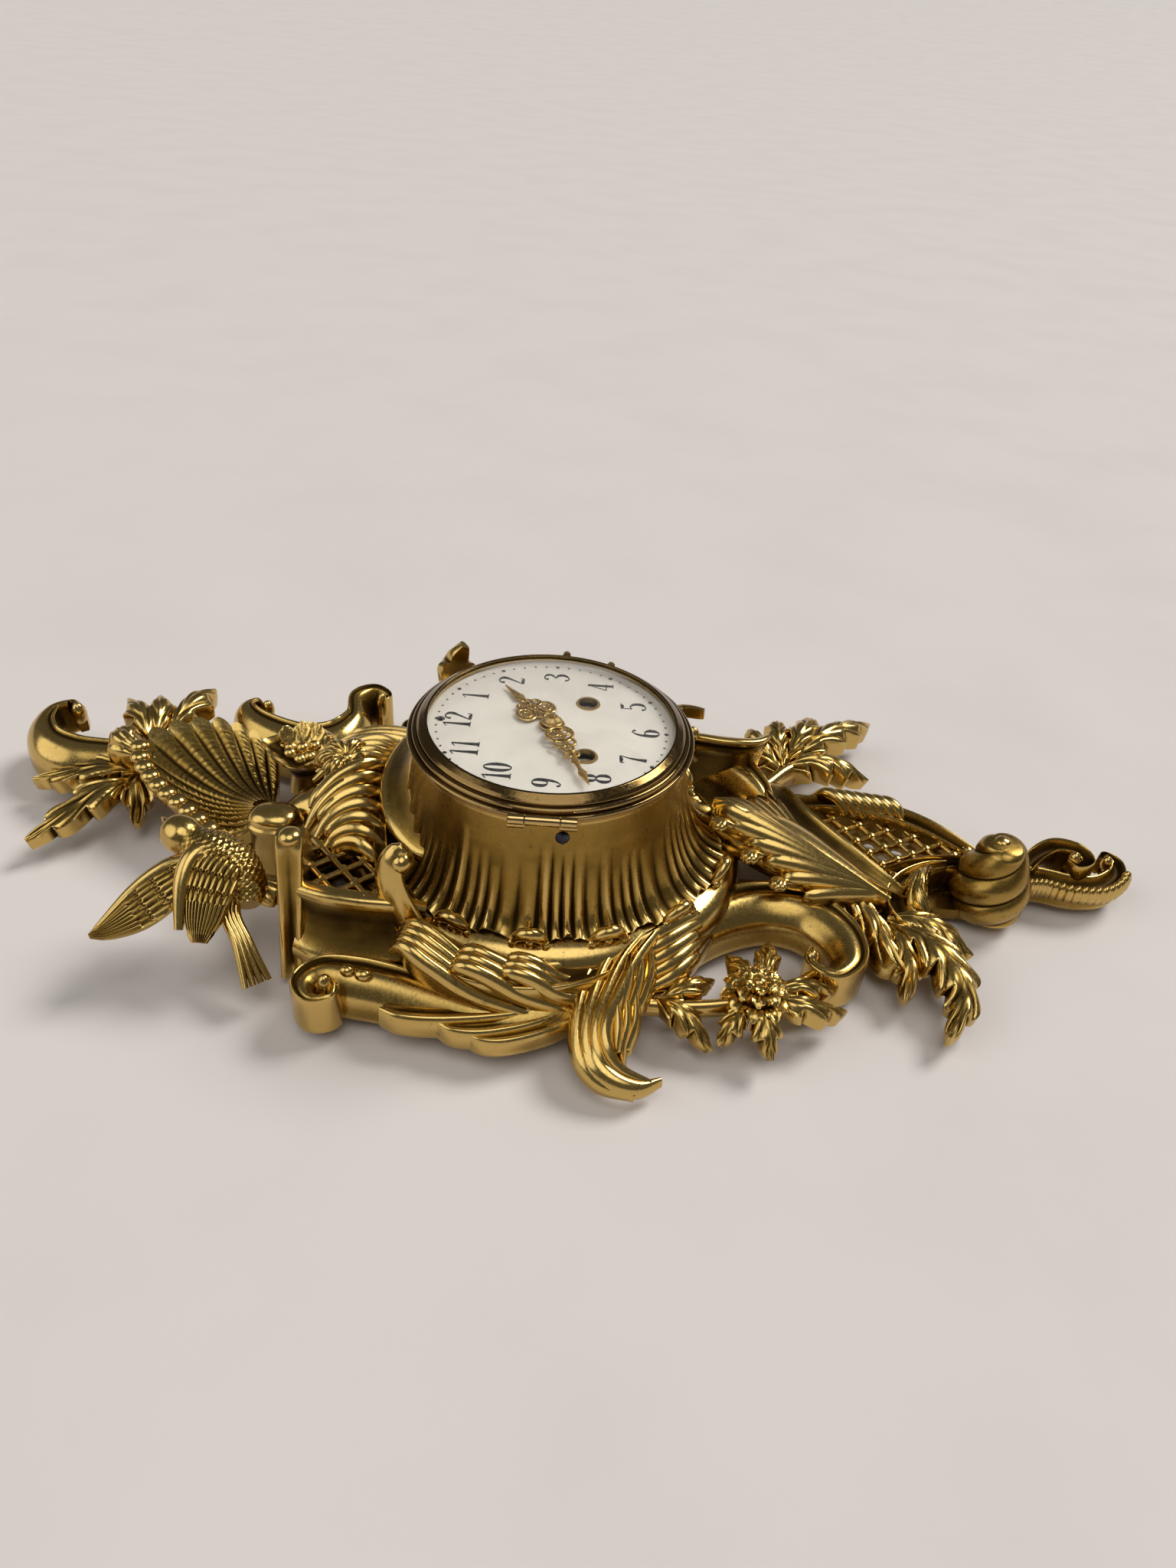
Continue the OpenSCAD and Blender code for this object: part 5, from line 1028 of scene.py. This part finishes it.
def trellis(outline, z, pitch, angle, bar, tall):
    """Bars along two directions at right angles, and a bead at each crossing inside."""
    outline = np.asarray(outline, float)
    middle = outline.mean(axis=0)
    t = np.arange(-90, 90, 0.5)[:, None]
    offsets = np.arange(-14, 15) * pitch
    ways = [np.array([math.cos(a), math.sin(a)]) for a in np.radians([angle, angle + 90])]
    skins = []
    for way, other in (ways, ways[::-1]):
        for offset in offsets:
            line = middle + offset * other + t * way
            keep = np.flatnonzero(inside(line, outline))
            for stretch in np.split(keep, np.flatnonzero(np.diff(keep) > 1) + 1):
                if len(stretch) > 4:
                    ends = line[stretch[[0, -1]]]
                    rows = np.array([[*p, z, bar / 2, tall / 2] for p in (ends[0], ends.mean(axis=0), ends[1])])
                    skins.append(swept(rows, BAR, 4))
    grid = np.stack(np.meshgrid(offsets, offsets), axis=-1).reshape(-1, 2)
    crossings = middle + grid[:, :1] * ways[0] + grid[:, 1:] * ways[1]
    skins += [ball([*p, z + tall / 2], [1.9, 1.9, 1.3], 5, 8) for p in crossings[inside(crossings, outline)]]
    return skins


# %% [markdown]
# Below the trellis a hollow wall falls to a flared foot, and beside the bowl a smooth curl stands up and
# rolls into a knob. The wall is a profile carried along its foot line.

# %% Console
CYMA = soft([[-0.1, -1], [0.9, -1], [0.92, -0.52], [1, -0.44], [1, -0.3], [0.9, -0.2], [0.7, -0.06], [0.5, 0.14],
             [0.37, 0.38], [0.34, 0.6], [0.4, 0.78], [0.45, 0.9], [0.38, 0.99], [0.2, 1], [-0.1, 1]], 90, 2)
console_panel = [[-88, -50], [-59, -58], [-57, -40], [-61, -20], [-67, -8], [-83, -8], [-89, -30]]
console = trellis(console_panel, 40, 8.6, 41, 2.4, 4)
console += [
    swept([[-42, -54, 22, 10, 17], [-52, -54.5, 23, 12.5, 19], [-64, -54.5, 23, 13, 19.5], [-76, -53, 23, 13, 19.5],
           [-86, -50, 23, 12, 19]], CYMA, 60),
    swept(at(CREST, [[20, -53, 36, 2.4, 5], [10, -44, 40, 2.8, 5], [5, -28, 41, 2.8, 5],
                     [2, -10, 42, 2.4, 5]]), COVE, 60),
    swept([[-34, -60, 20, 3, 3], [-42, -59, 27, 5.4, 3], [-49, -57, 37, 6.4, 3.2], [-53, -55, 47, 6.2, 3.2],
           [-53, -53, 55, 5.2, 3], [-50, -51.5, 59.5, 4, 2.4],
           [-48.5, -52, 57.5, 2, 1.4]], ROUND, 80, up=unit(np.array([-0.5, -1.0, 0.3]))),
    ball([-49, -52, 56], [4.4, 5.2, 4.2], 12, 16)]
casting("console", console, "left_console")

# %% [markdown]
# ## The near side
#
# A long scroll runs below the bowl on the near side. It is a lipped band rolled into a volute at the left,
# and three plumes of strands lie along it. On its outer side three long lobes lie one outside the other,
# each ending in a cusp, so that the edge is stepped.

# %% Near scroll
LOBE = soft([[-1, -1], [1, -1], [1, 0.35], [0.75, 0.85], [0.4, 1.0], [0.0, 0.7], [-0.5, 0.5], [-1, 0.75]], 40, 2)
near_scroll = [
    swept(at(NEAR, [[44, 14, 13, 3, 6], [32, 7, 13, 5.5, 7], [20, -5, 13, 7, 7.5], [6, -13, 13, 8, 7.5],
                    [-12, -16, 13, 8, 7.5], [-32, -13, 13, 8, 8], [-52, -9, 13.5, 8, 9], [-64, -7.5, 14, 8, 9.5],
                    [-74.5, -7.5, 14.5, 7, 9.5], [-79.5, -13, 14.5, 5.8, 9.5], [-76.5, -19, 14.5, 4.6, 9],
                    [-70, -18.5, 15, 3.2, 9], [-69, -13.5, 16, 1.8, 9]]), BAND * [-1, 1], 220),
    ball([-72.6, -81, 16.5], [3.8, 3.8, 9.6], 13, 20), ball([-60, -76, 22.4], [3.4, 2.6, 2.2], 9, 14),
    ball([-66, -75, 23], [2.8, 2.4, 2], 9, 14),
    swept([[16, -76, 14, 2, 5], [-6, -84, 14, 3, 5.5], [-28, -87.5, 14, 3.8, 5.5], [-44, -88, 14, 3.8, 5.5],
           [-52, -86, 14, 2.4, 5]],
          LOBE, 70),
    swept([[18, -77, 13, 2, 4.5], [2, -86, 13, 3, 5], [-14, -91, 13, 3.4, 5], [-25, -92, 13, 3, 5],
           [-31, -90, 13, 1.8, 4.5]],
          LOBE, 60),
    swept([[20, -78, 12, 2, 4.5], [8, -87, 12, 3, 4.5], [-6, -93, 12, 3.2, 4.5], [-15, -94.5, 12, 2.6, 4.5],
           [-21, -92.5, 12, 1.5, 4]],
          LOBE, 60),
    swept([[36, -60, 22, 3, 6], [20, -70, 22, 6, 6.5], [2, -75.5, 22, 7, 7], [-16, -76, 23, 7, 7],
           [-32, -73, 25, 6.5, 7], [-43, -67, 27, 5, 6], [-50, -59, 28, 2, 4]], COVE, 90)]
for first, last, *shape in (
        ([[26, -76, 15, 1.6, 3], [10, -80, 22, 2.4, 3.4], [0, -79.5, 29, 2.6, 3.4], [-8, -78.5, 31, 2.4, 3],
          [-12, -77.5, 26.5, 1.2, 1.6]],
         [[24, -70, 17, 1.6, 3], [10, -73, 23, 2.4, 3.4], [1, -73, 30, 2.6, 3.4], [-6, -72.5, 32, 2.4, 3],
          [-10, -72, 28, 1.2, 1.6]], 3),
        ([[12, -81, 15, 1.6, 3], [-4, -82, 23, 2.6, 3.4], [-16, -81, 31, 2.8, 3.4], [-24.5, -79.5, 33.5, 2.6, 3],
          [-29, -78, 28.5, 1.2, 1.6]],
         [[12, -73, 17, 1.6, 3], [-2, -75, 25, 2.6, 3.4], [-14, -74, 32, 2.8, 3.4], [-22, -72.5, 34.5, 2.6, 3],
          [-27, -71.5, 30, 1.2, 1.6]], 3),
        ([[0, -84, 15, 1.8, 3], [-20, -83, 23, 2.8, 3.6], [-36, -79, 32, 3, 3.8], [-45, -74.5, 36, 2.8, 3.2],
          [-50, -72, 31, 1.4, 1.8]],
         [[-2, -74, 18, 1.8, 3], [-20, -74, 26, 2.8, 3.6], [-34, -69, 35, 3, 3.8], [-42, -65.5, 38, 2.8, 3.2],
          [-47.5, -63, 34, 1.4, 1.8]], 4)):
    near_scroll += plume(first, last, *shape)
casting("near_scroll", near_scroll, "left_acanthus_scroll")

# %% Foot leaf
foot = [swept([[44, -50, 19, 6, 8], [33, -63, 17, 8, 8.5], [27, -78, 15, 8.4, 8.5], [23.5, -90, 13, 7, 7.5],
               [24, -99, 11, 6, 6.5], [30, -105, 9, 4.4, 5.5], [39, -106.5, 8, 3, 4],
               [47, -103, 8, 1.2, 2.5]], ROUND, 90)]
for first, last, *shape in (
        ([[30, -52, 24, 2, 4], [22, -64, 21, 2.8, 5], [18, -78, 18, 3.2, 5.5], [17, -90, 14, 3.2, 5.5],
          [19, -100, 11, 2.8, 5], [26, -107, 8.5, 2, 3.5], [38, -109, 7, 1.3, 2.4]],
         [[44, -54, 29, 2, 4], [37, -66, 27, 2.8, 5], [31, -80, 23, 3.2, 5.5], [27, -90, 19, 3.2, 5.5],
          [28, -98, 15, 2.6, 5], [33, -103, 12, 2, 3.5], [43, -105, 9, 1.2, 2.4]], 4),
        ([[42, -58, 26, 2, 5], [42, -69, 23, 2.8, 6], [39, -79, 18, 2.6, 5.5], [34, -88, 13, 1.3, 3]],
         [[35, -64, 26, 2, 5], [34, -73, 25, 2.8, 6], [32, -82, 20, 2.6, 5.5], [31, -89, 15, 1.3, 3]], 3, 1),
        ([[37, -78, 21, 2, 5], [37, -87, 17, 2.6, 5], [35, -94, 13, 2.2, 4.5], [34, -100, 10, 1.2, 2.4]],
         [[30, -83, 22, 2, 5], [31, -90, 18, 2.6, 5], [31, -96, 14, 2.2, 4.5], [33, -101, 11, 1.2, 2.4]], 3, 1)):
    foot += plume(first, last, *shape)
casting("foot_acanthus", foot, "foot_leaf")

# %% [markdown]
# ## The lower end
#
# Below the bowl a big C scroll, a rose spray, a ribbed fan, a second trellis, a turned boss and a curled
# tendril follow one another. The C scroll is the lipped band of the near side again, over plain upright
# walls. The later frames and the tendril are mouldings: a roll, a broad hollow and a thin lip.

# %% C scroll and its acanthus
MOULDING = soft([[-1, -1], [1, -1], [1, 0.45], [0.96, 0.82], [0.82, 1], [0.66, 0.93], [0.55, 0.66], [0.2, 0.36],
                 [-0.3, 0.34], [-0.6, 0.56], [-0.72, 0.82], [-0.85, 0.92], [-0.97, 0.82], [-1, 0.5]], 76, 2)
c_scroll = [
    swept(at(FOOT, [[-27, -70, 14, 2.5, 7], [-20, -57, 15, 6, 8.5], [-10, -41, 15, 8, 9.5], [5, -28, 15, 9, 10.5],
                    [23, -21, 15, 9.5, 10.5], [39, -24, 15, 9.5, 10.5], [50, -36, 15, 8.5, 10], [52, -49, 15, 7, 9.5],
                    [45, -57, 15, 5.5, 9], [38, -53, 15, 3.8, 8.5], [39, -46, 15, 2.2, 8]]), BAND, 220),
    ball([104.5, -50, 18], [3.4, 3.4, 6]),
    swept([[38, -66, 14, 3, 6], [48, -60, 15, 6, 7], [58, -48, 15, 6, 7], [66, -38, 15, 3, 5]], ROUND, 40)]
c_scroll += plume([[37, -57, 26, 1.8, 4], [47, -51, 28, 3, 5], [58, -41, 27, 3, 4.5], [69, -32, 23, 1.4, 2]],
                  [[43, -70, 17, 1.8, 4], [52, -64, 19, 3, 5], [59, -55, 19, 3, 4.5], [64, -45, 17, 1.4, 2]], 5, 2)
casting("c_scroll", c_scroll, "lower_left_scroll")
lower_leaves = [
    acanthus(at(FOOT, [[33, -12, 18, 4, 6.5], [46, -11, 18, 7, 7], [57, -16, 17, 8.5, 7], [65, -27, 16, 8, 7],
                       [69, -39, 14, 6.5, 6.5], [75, -51, 13, 1.5, 4]]), 5, 0.35, 1.6),
    swept(at(FOOT, [[86, 9, 11, 3.5, 5.5], [86, -4, 11, 3.5, 5.5], [83, -18, 11, 4, 5.5],
                    [78, -27, 12, 4, 5.5]]), ROUND, 40),
    acanthus([[141, -22, 14, 4, 5], [150, -25, 18, 8.5, 5.5], [160, -29, 17, 8, 5],
              [171, -35, 11, 1.5, 3.5]], 4, 0.5, 1.0, cup=0.3),
    acanthus([[141, -26, 14, 4, 5], [150, -36, 19, 9, 5.5], [158, -48, 18, 9.5, 5.5], [161, -61, 14, 7, 5],
              [153, -77, 9.5, 1.5, 4]],
             5, 0.5, 1.0, cup=0.3),
    acanthus([[142, -26, 13, 3, 5], [152, -31, 15, 6, 5], [161, -40, 14, 6, 4.5],
              [168, -51, 11, 1.5, 3]], 4, 0.45, 1.0),
    acanthus([[140, -28, 13, 3, 5], [142, -38, 16, 6, 5], [143, -49, 14, 5.5, 4.5],
              [140, -60, 10, 1.5, 3]], 3, 0.45, 1.0)]
casting("lower_leaves", lower_leaves, "lower_acanthus")

# %% Rose spray
spray = [swept([[36, -74, 13, 2.4, 4], [46, -73.5, 13, 2.8, 4], [60, -74, 14, 2.6, 4], [74, -72, 15, 2.5, 4],
                [90, -66, 15, 2.5, 4], [107, -54, 15, 2.5, 4]], ROUND, 70)]
for tip_row in ([[46, -73, 14, 2.5, 4], [53, -78, 16, 5.5, 4.5], [59, -82, 13, 4.5, 4], [65, -88, 8, 1, 2.5]],
                [[47, -73, 14, 2.5, 4], [54, -69, 17, 5, 4.5], [60, -65, 17, 4.5, 4], [67, -60, 13, 1, 2.5]],
                [[84, -66, 18, 3, 4], [86, -57, 22, 5.5, 4.5], [88, -49, 20, 4, 4], [89, -41, 16, 1, 2.5]],
                [[80, -66, 18, 3, 4], [77, -59, 21, 5, 4], [73, -49, 15, 1, 2.5]],
                [[88, -72, 17, 3, 4], [98, -74, 19, 6, 4.5], [107, -72, 15, 5, 4], [116, -68, 10, 1, 2.5]],
                [[88, -68, 17, 3, 4], [97, -66, 20, 5, 4.5], [105, -63, 17, 4, 4], [113, -61, 13, 1, 2.5]],
                [[82, -74, 17, 3, 4], [84, -83, 17, 6, 4.5], [86, -92, 10, 1.2, 3]],
                [[78, -74, 17, 3, 4], [73, -81, 16, 5, 4.5], [68, -87, 10, 1.2, 3]]):
    spray.append(acanthus(tip_row, 3, 0.45, 0.9, cup=0.25))
heart = np.array([82, -70, 18])
spray.append(turned([[5, -7], [8, -3], [8.5, 1], [6, 3], [0.5, 4]], heart, 24))
for rise, *ring in ((0, 10, 13.5, 3.6, 2.5, 2.0, 0.1), (3, 9, 10, 3.1, 3, 1.2, 0.4), (5.5, 7, 6.5, 2.4, 3, 0.4, 0.2)):
    spray += petals(heart + [0, 0, rise], *ring)
spray.append(ball(heart + [0, 0, 8], [2.6, 2.6, 2]))
casting("rose_spray", spray, "flower_spray")

# %% Fan below the bowl
fan_edges = ([[141, -12, 15, 1.4, 4], [122, -1, 20, 2.8, 5], [108, 14, 24, 3.6, 6], [100, 33, 26, 3.2, 5],
              [97, 44, 24, 1.4, 2.4]],
             [[139, -14, 18, 1.4, 4], [115, -10, 30, 3, 5.5], [91, -3, 39, 4, 6.5], [72, 4, 45, 4.4, 6],
              [62, 8, 46, 2, 3]],
             [[137, -16, 18, 1.4, 4], [129, -18, 23, 2.6, 5], [118, -20, 25, 3, 5], [107, -22, 25, 2.8, 4.5],
              [102, -23, 22, 1.4, 2.4]])
fan = plume(fan_edges[0], fan_edges[1], 7, 2) + plume(fan_edges[1], fan_edges[2], 6, 3)
for base, way, rise, thick in (([71, -2, 43], [-0.85, -0.5, 0], 1.6, 2.1), ([83, -12, 36], [-0.7, -0.7, 0], 1.6, 2.1),
                               ([95, -19, 29], [-0.7, -0.7, 0], 1.4, 2.0)):
    fan += frill(base, way, 6, rise, 4, 40, thick)
fan += [swept([[140, -12, 14, 4, 7], [118, -4, 22, 12, 9], [96, 4, 29, 16, 10], [78, 8, 33, 12, 9],
               [68, 8, 35, 6, 7]], ROUND, 50)]
casting("ribbed_fan", fan, "lower_fan")

# %% Lower trellis and frames
panel = at(FOOT, [[39, 38, 0], [50, 15, 0], [62, 3, 0], [74, 0, 0], [94, 9, 0], [119, 19, 0], [119, 26, 0],
                  [98, 34, 0], [80, 41, 0], [60, 44, 0]])[:, :2]
far_frame = at(FOOT, [[38, 47, 13, 2.5, 8], [60, 47, 15, 4.5, 10], [82, 43, 15, 5, 10], [102, 35, 14, 4.5, 9],
                      [124, 18, 12, 2.5, 7]])
FRAME = soft([[-1, -1], [1, -1], [1, 0.6], [0.93, 0.9], [0.8, 0.96], [0.62, 0.8], [0.2, 0.66], [-0.3, 0.64],
              [-0.68, 0.76], [-0.84, 0.92], [-0.96, 0.86], [-1, 0.5]], 72, 2)
frames = trellis(panel, 16, 8.4, 30, 2.2, 4)
frames += [
    swept(at(FOOT, [[31, 57, 15, 3, 8], [34, 43, 19, 5.5, 12], [41, 25, 20, 6.4, 13], [53, 9, 19, 6.4, 13],
                    [69, -4, 16, 5, 11], [85, -10, 13, 1.5, 6]]), FRAME, 110),
    swept(at(FOOT, [[72, 1, 13, 3, 8], [89, 8, 13, 4.5, 9.5], [106, 13, 13, 4.5, 9],
                    [124, 16, 12, 2.5, 7]]), GUTTER, 80),
    swept(far_frame, MOULDING, 100),
    swept([[172, 12, 15, 2.5, 6], [161, 6, 16, 4, 7.5], [151, -2, 15.5, 5.5, 8], [145, -12, 15, 5.5, 8],
           [147, -22, 14, 4.8, 7.5], [154, -24, 13, 3.6, 7], [157, -18, 13, 2.2, 6.5],
           [154, -15, 13, 1.2, 6]], MOULDING, 110),
    acanthus([[160, 3, 21, 2.5, 4], [154, -5, 23, 5, 5], [152, -14, 21, 5, 5],
              [157, -23, 15, 1.2, 3]], 3, 0.35, 1.4, deep=1.6),
    ball([154, -18, 17], [2.6, 2.6, 4])]
frames += plume([[120, 52, 19, 1.4, 3], [124, 50, 24, 2.8, 3.4], [129, 46, 24, 2.8, 3.4], [132, 42, 19, 1.4, 2.6]],
                [[144, 49, 19, 1.4, 3], [149, 47, 24, 2.8, 3.4], [154, 43, 24, 2.8, 3.4], [157, 39, 19, 1.4, 2.6]], 7)
casting("trellis_and_frames", frames, "lower_trellis")

# %% [markdown]
# The boss is a turned drum, wound like a turban. Its slanted groove is a wave up the drum whose phase
# runs on with the angle. The tendril after it has a toothed outer edge and rolls into two volutes.

# %% Boss and tendril
boss_profile = even([[12, 0, 0], [14.2, 2, 0], [15.6, 8, 0], [15.6, 14, 0], [14.4, 20, 0], [12.6, 25, 0],
                     [11, 29, 0], [9.8, 32, 0], [8.8, 34.4, 0], [6.4, 36.2, 0], [0.6, 36.8, 0]], 120)[:, :2]


def slanted(t, a):
    """Three round bands that wind up the drum like a turban, right to the top."""
    return 1 + 0.17 * (np.abs(np.sin(1.5 * a - 11 * t)) ** 0.6 - 0.75) * np.clip(11 - 11.6 * t, 0, 1)


boss = [turned(boss_profile, [188, 3, 4], 168, slanted), ball([187, 4, 40.4], [3.4, 3.4, 1.5])]
casting("boss", boss, "pendant_boss")
tendril_line = np.array([[191, 8, 11, 5, 6.5], [203, 12, 11, 5, 7], [214, 13, 11, 4.5, 7], [226, 10, 11, 4.5, 7],
                         [238, 11, 11, 4.5, 6.5], [247, 17, 12, 4, 6.5], [249.5, 24, 13, 3.2, 6],
                         [246, 28, 14, 2.2, 5.5], [242.5, 25.5, 15, 1.2, 5]])
inner_line = np.array([[206, 14, 14, 3, 7], [213, 22, 15, 4, 8], [222, 27, 16, 4, 8.5], [231, 25, 16, 3.6, 8.5],
                       [233.5, 18, 16, 3, 8], [228, 14.5, 16, 2.4, 7.5], [223.5, 18, 17, 1.4, 7]])
tendril = [swept(tendril_line, MOULDING, 150), swept(inner_line, MOULDING, 110),
           ball([245.5, 24.5, 16], [2.6, 2.6, 4]), ball([228, 19.5, 20], [3, 3, 5])]
row = even(tendril_line, 30)[3:24]
_, left, _ = axes(row[:, :3], Z)
for p, away in zip(row, left):
    tendril.append(ball([*(p[:2] - away[:2] * (p[3] + 0.2)), p[2] + 2.2], [2.5, 2.5, 5], 6, 8))
casting("tendril", tendril, "tail_tendril")

# %% [markdown]
# ## The far side
#
# Behind the bowl the same scrolls and leaves go on, half hidden from the camera. The far console is a
# hollow wall with a rolled rim. Tall leaves stand up behind the bezel, and the tip of one bends out beside
# it. They are made with the same functions, because the clock is looked at all round.

# %% Far side
CUP = soft([[0.1, -1], [-0.35, -1], [-0.42, -0.4], [-0.55, 0.1], [-0.64, 0.36], [-0.74, 0.46], [-0.7, 0.58],
            [-0.66, 0.66], [-0.82, 0.78], [-1, 0.88], [-0.96, 1], [-0.7, 1], [-0.45, 0.9], [-0.25, 0.6],
            [0, 0]], 84, 2)
far_console = [
    swept(at(FAR, [[40, -2, 20, 6, 13], [60, 2, 20, 8, 14], [78, -4, 20, 8.5, 14], [90, -17, 19, 7, 12],
                   [97, -30, 16, 3, 9]]), BAND, 110),
    swept([[55, 66, 31, 9, 15], [64, 64, 32, 11, 16], [76, 63, 32, 12, 16], [86, 64, 31.5, 11, 15.5],
           [92, 67, 31, 8, 15]], CUP, 70),
    swept([[66, 62, 30, 3, 3], [61, 58, 39, 4, 3], [59, 55, 45.5, 4.4, 3], [60, 53, 49.5, 3.6, 2.6],
           [62.5, 52, 48.5, 2, 1.6]], ROUND, 50,
          up=unit(np.array([0.5, -1.0, 0.3])))]
casting("far_console", far_console, "right_console")
spray_skins = [
    swept(at(FOOT, [[18, 50, 14, 4, 6], [32, 63, 14, 4, 6], [43, 76, 14, 4, 6], [55, 85, 14, 3, 5]]), ROUND, 40),
    swept(at(FOOT, [[26, 50, 12, 3, 6], [45, 56, 12, 3.5, 6], [59, 53, 12, 3.5, 6], [72, 44, 12, 3, 6]]), ROUND, 40)]
for tip_row in ([[116, 86, 15, 3, 5], [127, 97, 20, 8, 5.5], [139, 108, 20, 8.5, 5.5], [150, 117, 17, 6, 5],
                 [159, 125, 13, 1.2, 3]],
                [[110, 78, 14, 3, 5], [123, 80, 19, 7.5, 5.5], [137, 81, 17, 7.5, 5], [150, 79, 11, 1.2, 3]],
                [[108, 80, 15, 3, 5], [107, 92, 21, 7, 5.5], [108, 103, 22, 6, 5], [109, 113, 18, 1.2, 3]],
                [[112, 84, 16, 3, 5], [119, 98, 22, 7.5, 5.5], [125, 110, 21, 6.5, 5], [129, 121, 15, 1.2, 3]],
                [[106, 74, 14, 3, 5], [99, 82, 22, 6, 5], [95, 90, 25, 5, 4.5], [93, 97, 22, 1.2, 3]]):
    spray_skins.append(acanthus(tip_row, 4, 0.5, 1.0, cup=0.2, deep=1.3))
casting("far_spray", spray_skins, "right_leaf_spray")
far_scroll = [
    swept(at(FAR, [[46, -12, 15, 5, 8], [26, 3, 15, 7, 9], [6, 13, 15, 7.5, 9.5], [-14, 15, 15, 7.5, 9.5],
                   [-34, 11, 15, 7.5, 9.5], [-52, 6, 15, 7, 9.5], [-65, 9, 15, 6, 9], [-69, 18, 15, 4.5, 8.5],
                   [-62, 23, 15, 3, 8], [-57, 18, 15, 1.5, 7.5]]), GUTTER, 180),
    ball([-60, 86, 19], [3.4, 3.4, 5])]
far_scroll.append(acanthus([[46, 53, 18, 4, 4], [46, 56, 36, 7, 5], [48, 57.5, 51, 5, 4], [55, 57, 58.5, 3.8, 2.6],
                            [64.5, 55, 59.5, 2.4, 1.8]],
                           4, 0.35, up=[0, 1, 0]))
for x, y, tall, w in ((0, 11, 70, 8), (20, 8, 68, 7)):
    far_scroll.append(acanthus(at(FAR, [[x, y - 6, 18, 4, 4], [x, y - 3, 36, w, 5], [x + 1, y, 54, w - 1, 4],
                                        [x + 3, y + 2, tall, 1.5, 1.5]]), 5, 0.4, up=[0, 1, 0]))
far_scroll.append(acanthus(at(FAR, [[-33, 3, 16, 6, 5], [-39, -3, 30, 8, 6], [-44, -2, 46, 10, 6],
                                    [-46, 0, 58, 9.5, 5.5], [-46, 3, 68, 7, 4],
                                    [-42, 3, 76, 2, 2]]), 5, 0.35, up=unit(np.array([-1.0, 1.4, 0]))))
casting("far_scroll", far_scroll, "right_acanthus_scroll")

# %% [markdown]
# ## The solids that stay
#
# The dial plate, the glass, the movement and the back are already right as solids. They only need their
# finish, and the record says which slot each of them takes.

# %% Finish the solids
finishes = {"gilt": gilt_plain, "old_brass": old_brass_plain, "bright_brass": bright_brass_plain, "steel": steel,
            "blue_steel": blue_steel, "enamel": enamel, "glass": clear_glass}
slots = {part["node"]: part["material_slot"] for part in frame["record"]["subparts"]}
for name, obj in frame["nodes"].items():
    obj.data.materials.clear()
    obj.data.materials.append(finishes[slots[name]])
print("solids finished:", len(slots))
